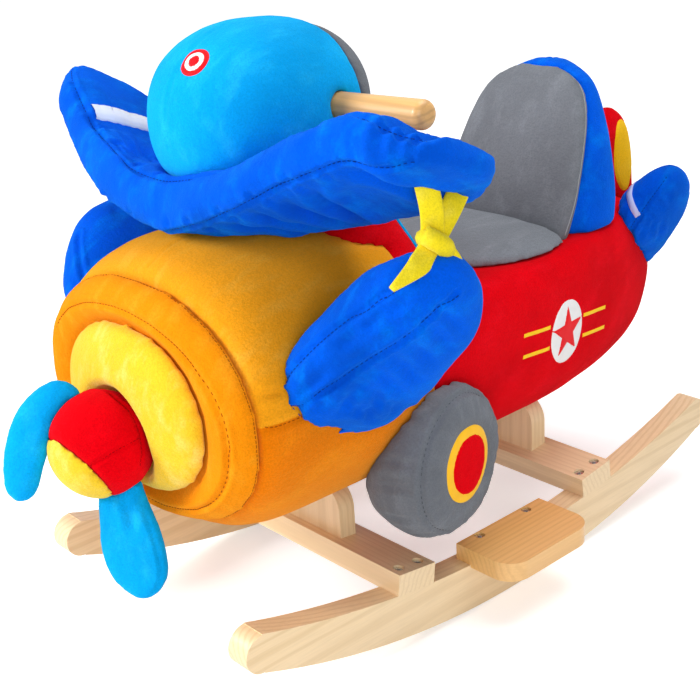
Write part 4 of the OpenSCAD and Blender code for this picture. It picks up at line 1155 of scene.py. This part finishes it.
def hub_cloth(node, side, radius, lift, rim):
    """A round patch on a wheel's outer face."""
    axis = Vector((WHEEL_AXIS.x * side, WHEEL_AXIS.y, 0))
    middle = on_side([WHEEL_MID + WHEEL_AXIS * WHEEL_FACE], side)[0]
    return patch_mesh(PIECES[node], oval(radius, radius), middle, UP.cross(axis), UP, lift, rim=rim)


def finish_wheels():
    rings, discs = [], []
    for side, node in ((1, "wheel_left"), (-1, "wheel_right")):
        press_wheel(node, side)
        rings.append(hub_cloth(node, side, radius=34.5, lift=2.4, rim=2.0))
        discs.append(hub_cloth(node, side, radius=28, lift=3.6, rim=1.6))
    patch("wheel_hub_ring_cloth", rings, satin("hub_gold", HUB_GOLD, ribs=1800), "wheel_hub_rings")
    patch("wheel_hub_disc_cloth", discs, plush("hub_red", RED, RED_SHEEN, sheen=0.2), "wheel_hub_discs")


finish_wheels()


# Finish of the seat, backrest and tail

SWELLS = {
    # height and size of the uneven filling
    "tail_section": (1.6, 70), "backrest_shell": (1.4, 50), "backrest_pad": (1.0, 44),
    "seat_pad": (1.2, 40), "tail_fin": (1.2, 36), "cockpit_front": (1.2, 34),
}
SHELL_SEAM = [(0, 217, 445), (0, 232, 449), (0, 252, 445)]


def finish_pads():
    for node, (height, size) in SWELLS.items():
        undulate(PIECES[node], height, size, seed=len(node))
    shell = PIECES["backrest_shell"]
    bed(shell, "backrest_pad", depth=3.2)
    press(shell, [SHELL_SEAM], width=2.0, depth=1.5, puff=0.7, ends=0.15)


finish_pads()


STRIPE_GOLD = (0.98, 0.62, 0.01)
STRIPE_OUT, STRIPE_UP, STRIPE_SLOPE = 51, 10.5, 0.12
FIN_GOLD, FIN_SHEEN = (1.0, 0.55, 0.008), (1.0, 0.66, 0.05)


def finish_roundels():
    tail = PIECES["tail_section"]
    discs, stars, stripes = [], [], []
    for side in (1, -1):
        place = ((side * 130, 115, 212), (0, side, 0), UP)
        discs.append(patch_mesh(tail, oval(28, 32), *place, lift=0.9))
        stars.append(patch_mesh(tail, star(30, 0.40), *place, lift=1.5, step=1.8, rim=0.9))
        for end, level in ((-1, -1), (-1, 1), (1, -1), (1, 1)):
            at = (end * side * STRIPE_OUT, level * STRIPE_UP - end * STRIPE_OUT * STRIPE_SLOPE)
            stripe = bar(44, 5, at, -STRIPE_SLOPE * side)
            stripes.append(patch_mesh(tail, stripe, *place, lift=0.8, step=1.6, rim=0.8))
    patch("roundel_cloth", discs, satin("roundel_white", WHITE, ribs=1700), "roundel_patches")
    patch("roundel_star_cloth", stars, satin("roundel_red", RED, ribs=1900), "roundel_stars")
    patch("roundel_stripe_cloth", stripes, satin("roundel_gold", STRIPE_GOLD, ribs=1900), "roundel_stripes")


def finish_fin():
    panels = []
    for side in (1, -1):
        place = ((side * 40, 328, 326), (0, side, 0), UP)
        panels.append(patch_mesh(PIECES["tail_fin"], oval(19.5, 38.4), *place, lift=1.8, step=2.4, rim=1.8))
    patch("fin_panel_cloth", panels, plush("fin_gold", FIN_GOLD, FIN_SHEEN, deep=0.95), "fin_panels")


finish_roundels()
finish_fin()


COWL_EDGE = [(80, -17, 289), (69, -37, 320), (61, -55, 354), (55, -67, 382)]
PAD_EDGE = [
    (79, 150, 292), (80, 163, 319), (76, 180, 358), (65, 198, 400), (51, 207, 422), (26, 213, 435),
    (0, 214, 439),
]
PAD_CORD = (0.30, 0.31, 0.335)


def finish_edges():
    """Piping round the cockpit front and a pale cord where the backrest's pad meets its shell."""
    piping = [laid_cord(PIECES["cockpit_front"], path, radius=2.0) for path in on_both_sides(COWL_EDGE)]
    patch("cockpit_piping", piping, plush("piping_blue", SKY, SKY_SHEEN), "cockpit_front", replaces=False)
    edge = PAD_EDGE + mirrored(PAD_EDGE[:-1])[::-1]
    cord = laid_cord(PIECES["backrest_pad"], edge, radius=0.6, lift=0.0)
    cord_satin = satin("pad_edge", PAD_CORD, ribs=2600, rough=0.7)
    patch("pad_cord", [cord], cord_satin, "backrest_pad", replaces=False)


finish_edges()


PLANE_ROOT, PLANE_TIP = Vector((36, 290, 224)), Vector((105, 300, 326))
PLANE_PITCH = math.radians(18)
PLANE_HALF_CHORD, PLANE_HALF_THICK, PLANE_SQUARE = 45, 22, 2.4
BAND_WIDTH, BAND_SATIN = 7, (0.50, 0.52, 0.78)


def plane_point(share, degrees, side):
    """A point of a tailplane: a share of the way out, 0 degrees in front and 90 on its outer face."""
    fore = Vector((0, -math.cos(PLANE_PITCH), math.sin(PLANE_PITCH)))
    face = (PLANE_TIP - PLANE_ROOT).cross(fore).normalized()
    wide = 1 if share < 0.5 else 1 - 1.5 * (share - 0.5) ** 2 - 0.25 * (share - 0.5)
    a = math.radians(degrees)
    chordwise = fore * PLANE_HALF_CHORD * wide * bulge(math.cos(a), PLANE_SQUARE)
    outward = face * PLANE_HALF_THICK * wide * bulge(math.sin(a), PLANE_SQUARE)
    point = PLANE_ROOT + (PLANE_TIP - PLANE_ROOT) * share + (chordwise + outward)
    return on_side([point], side)[0]


def plane_line(side, *rows):
    return [plane_point(share, degrees, side) for share, degrees in rows]


def finish_tailplane(node, side):
    """Seams, puckers and stitches of one tailplane, and the mesh of its band."""
    plane = PIECES[node]
    undulate(plane, height=1.4, size=30, seed=3 + side)
    seam = plane_line(side, (0.3, 44), (0.5, 40), (0.7, 36), (0.85, 31), (0.97, 24))
    under = plane_line(side, (0.45, 150), (0.65, 150), (0.85, 152))
    press(plane, [seam, under], width=2.0, depth=1.6, puff=0.9)
    rays = [plane_line(side, (0.34 + 0.02 * k, 34 + 16 * k), (0.66, 26 + 12 * k)) for k in range(5)]
    rays += [plane_line(side, (0.36, -24 - 18 * k), (0.62, -16 - 12 * k)) for k in range(3)]
    rays += [plane_line(side, (s, 36), (s - 0.05, 76)) for s in (0.55, 0.66, 0.77, 0.87)]
    press(plane, rays, width=3.4, depth=1.9, puff=1.1, ends=0.4)
    stitches(node + "_stitches", plane, [seam], ROYAL_THREAD, node, pitch=3.6, length=2.3, radius=0.35)
    return ribbon_mesh(plane, plane_line(side, (0.70, -70), (0.66, -30), (0.62, 6), (0.58, 36)), BAND_WIDTH)


bands = [finish_tailplane("tailplane_left", 1), finish_tailplane("tailplane_right", -1)]
patch("tailplane_bands", bands, satin("band_satin", BAND_SATIN, ribs=1700), "tailplane_left", replaces=False)


def finish_wing_stripes():
    wing = PIECES["upper_wing"]
    parts = [ribbon_mesh(wing, wing_line(s, s, 53, 128, 10), width=17, lift=1.4) for s in (0.70, -0.705)]
    patch("wing_stripe_cloth", parts, satin("stripe_satin", PALE_SATIN, ribs=1700), "upper_wing_stripes")


finish_wing_stripes()


# Ties

TIE_MIDDLE = Vector((0, -150, 380))
TUCKED_IN = Vector((0, 3, 9))
KNOT_AXIS, KNOT_R = (0.1, 0.55, 0.83), 8.5


def tie(node, knot, first, second, tail, stub, across):
    """Two straps from the upper wing to a knot on the lower wing, a band round it and two loose ends."""
    k, first, second, tail, stub = (Vector(p) for p in (knot, first, second, tail, stub))
    out = (k - TIE_MIDDLE).normalized()
    fore, aft = Vector((0, -10, 8)), Vector((0, 9, -9))
    over = [k + out * 2 + fore * 1.1, k + out * 9 + fore * 0.4, k + out * 9 + aft * 0.4, k + aft]
    behind = [k + out * 3 + aft * 0.6, k + out * 6 + aft, k + out * 4 + aft * 1.7]
    parts = [
        strap_mesh([k, k.lerp(first, 0.5) + out * 3, first, first + TUCKED_IN], across),
        strap_mesh([k, k.lerp(second, 0.5) + out * 2, second, second + TUCKED_IN], (0.71, 0.63, -0.31), 16),
        strap_mesh([k, k.lerp(tail, 0.45) + out * 5, tail], (-0.59, -0.32, 0.6), pointed=0.5),
        strap_mesh([k, k.lerp(stub, 0.5) + out * 4, stub], (-0.33, -0.67, -0.5), thick=7),
        tube_mesh(circle_at(k + out * 2, KNOT_AXIS, KNOT_R, 16), radius=6.5),
        tube_mesh(over, radius=7.5),
        tube_mesh(behind, radius=6.5),
    ]
    patch(node + "_straps", parts, PLUSH["tie"], node)


tie(
    "wing_tie_left", knot=(215, -164, 387), first=(215, -170, 437), second=(214, -124, 434),
    tail=(222, -212, 367), stub=(226, -153, 364), across=(0.6, 0.7, 0.03),
)
tie(
    "wing_tie_right", knot=(-189, -146, 353), first=(-182, -148, 414), second=(-182, -122, 402),
    tail=(-183, -112, 327), stub=(-196, -160, 336), across=(0.3, 0.95, 0.1),
)


# Wood, metal and plastic pieces keep their solids

WOOD_EDGE, EDGE_ANGLE = 2.2 * MM, math.radians(50)
SHOWN_WOOD = {
    "rocker_left": "y", "rocker_right": "y", "front_crossbar": "x", "rear_crossbar": "x",
    "front_upright": "z", "rear_upright": "z", "footrest_left": "y", "footrest_right": "y",
}
GRAIN = {
    **SHOWN_WOOD, "seat_board": "y", "console_post": "z", "post_cleat": "x", "backrest_board": "z",
    "backrest_cleat": "x",
}
WOOD = {"pine": PINE, "pine_warm": PINE_WARM}
HARD = {
    "bright_steel": metal("bright_steel", (0.78, 0.79, 0.80), rough=0.22),
    "brass": metal("brass", (0.70, 0.55, 0.26), rough=0.3),
    "white_plastic": plastic("white_plastic", (0.8, 0.8, 0.79)),
}


def wood_of(node):
    """The timber of a wooden node, made when it is first asked for."""
    slot, grain = SLOT_OF[node], GRAIN[node]
    name = f"{slot}_{grain}"
    return bpy.data.materials.get(name) or timber(name, WOOD[slot], grain)


def finish_hard_pieces():
    finishes = {node: HARD[slot] for node, slot in SLOT_OF.items() if slot in HARD}
    finishes.update({node: wood_of(node) for node in GRAIN})
    finishes["handle_bar"] = timber("handle_pine", HANDLE_PINE, "x", contrast=0.34)
    for node, material in finishes.items():
        NODES[node].data.materials.clear()
        NODES[node].data.materials.append(material)
    for node in SHOWN_WOOD:
        edge = NODES[node].modifiers.new("rounded_edges", "BEVEL")
        edge.width = WOOD_EDGE
        edge.segments = 3
        edge.limit_method = "ANGLE"
        edge.angle_limit = EDGE_ANGLE


finish_hard_pieces()
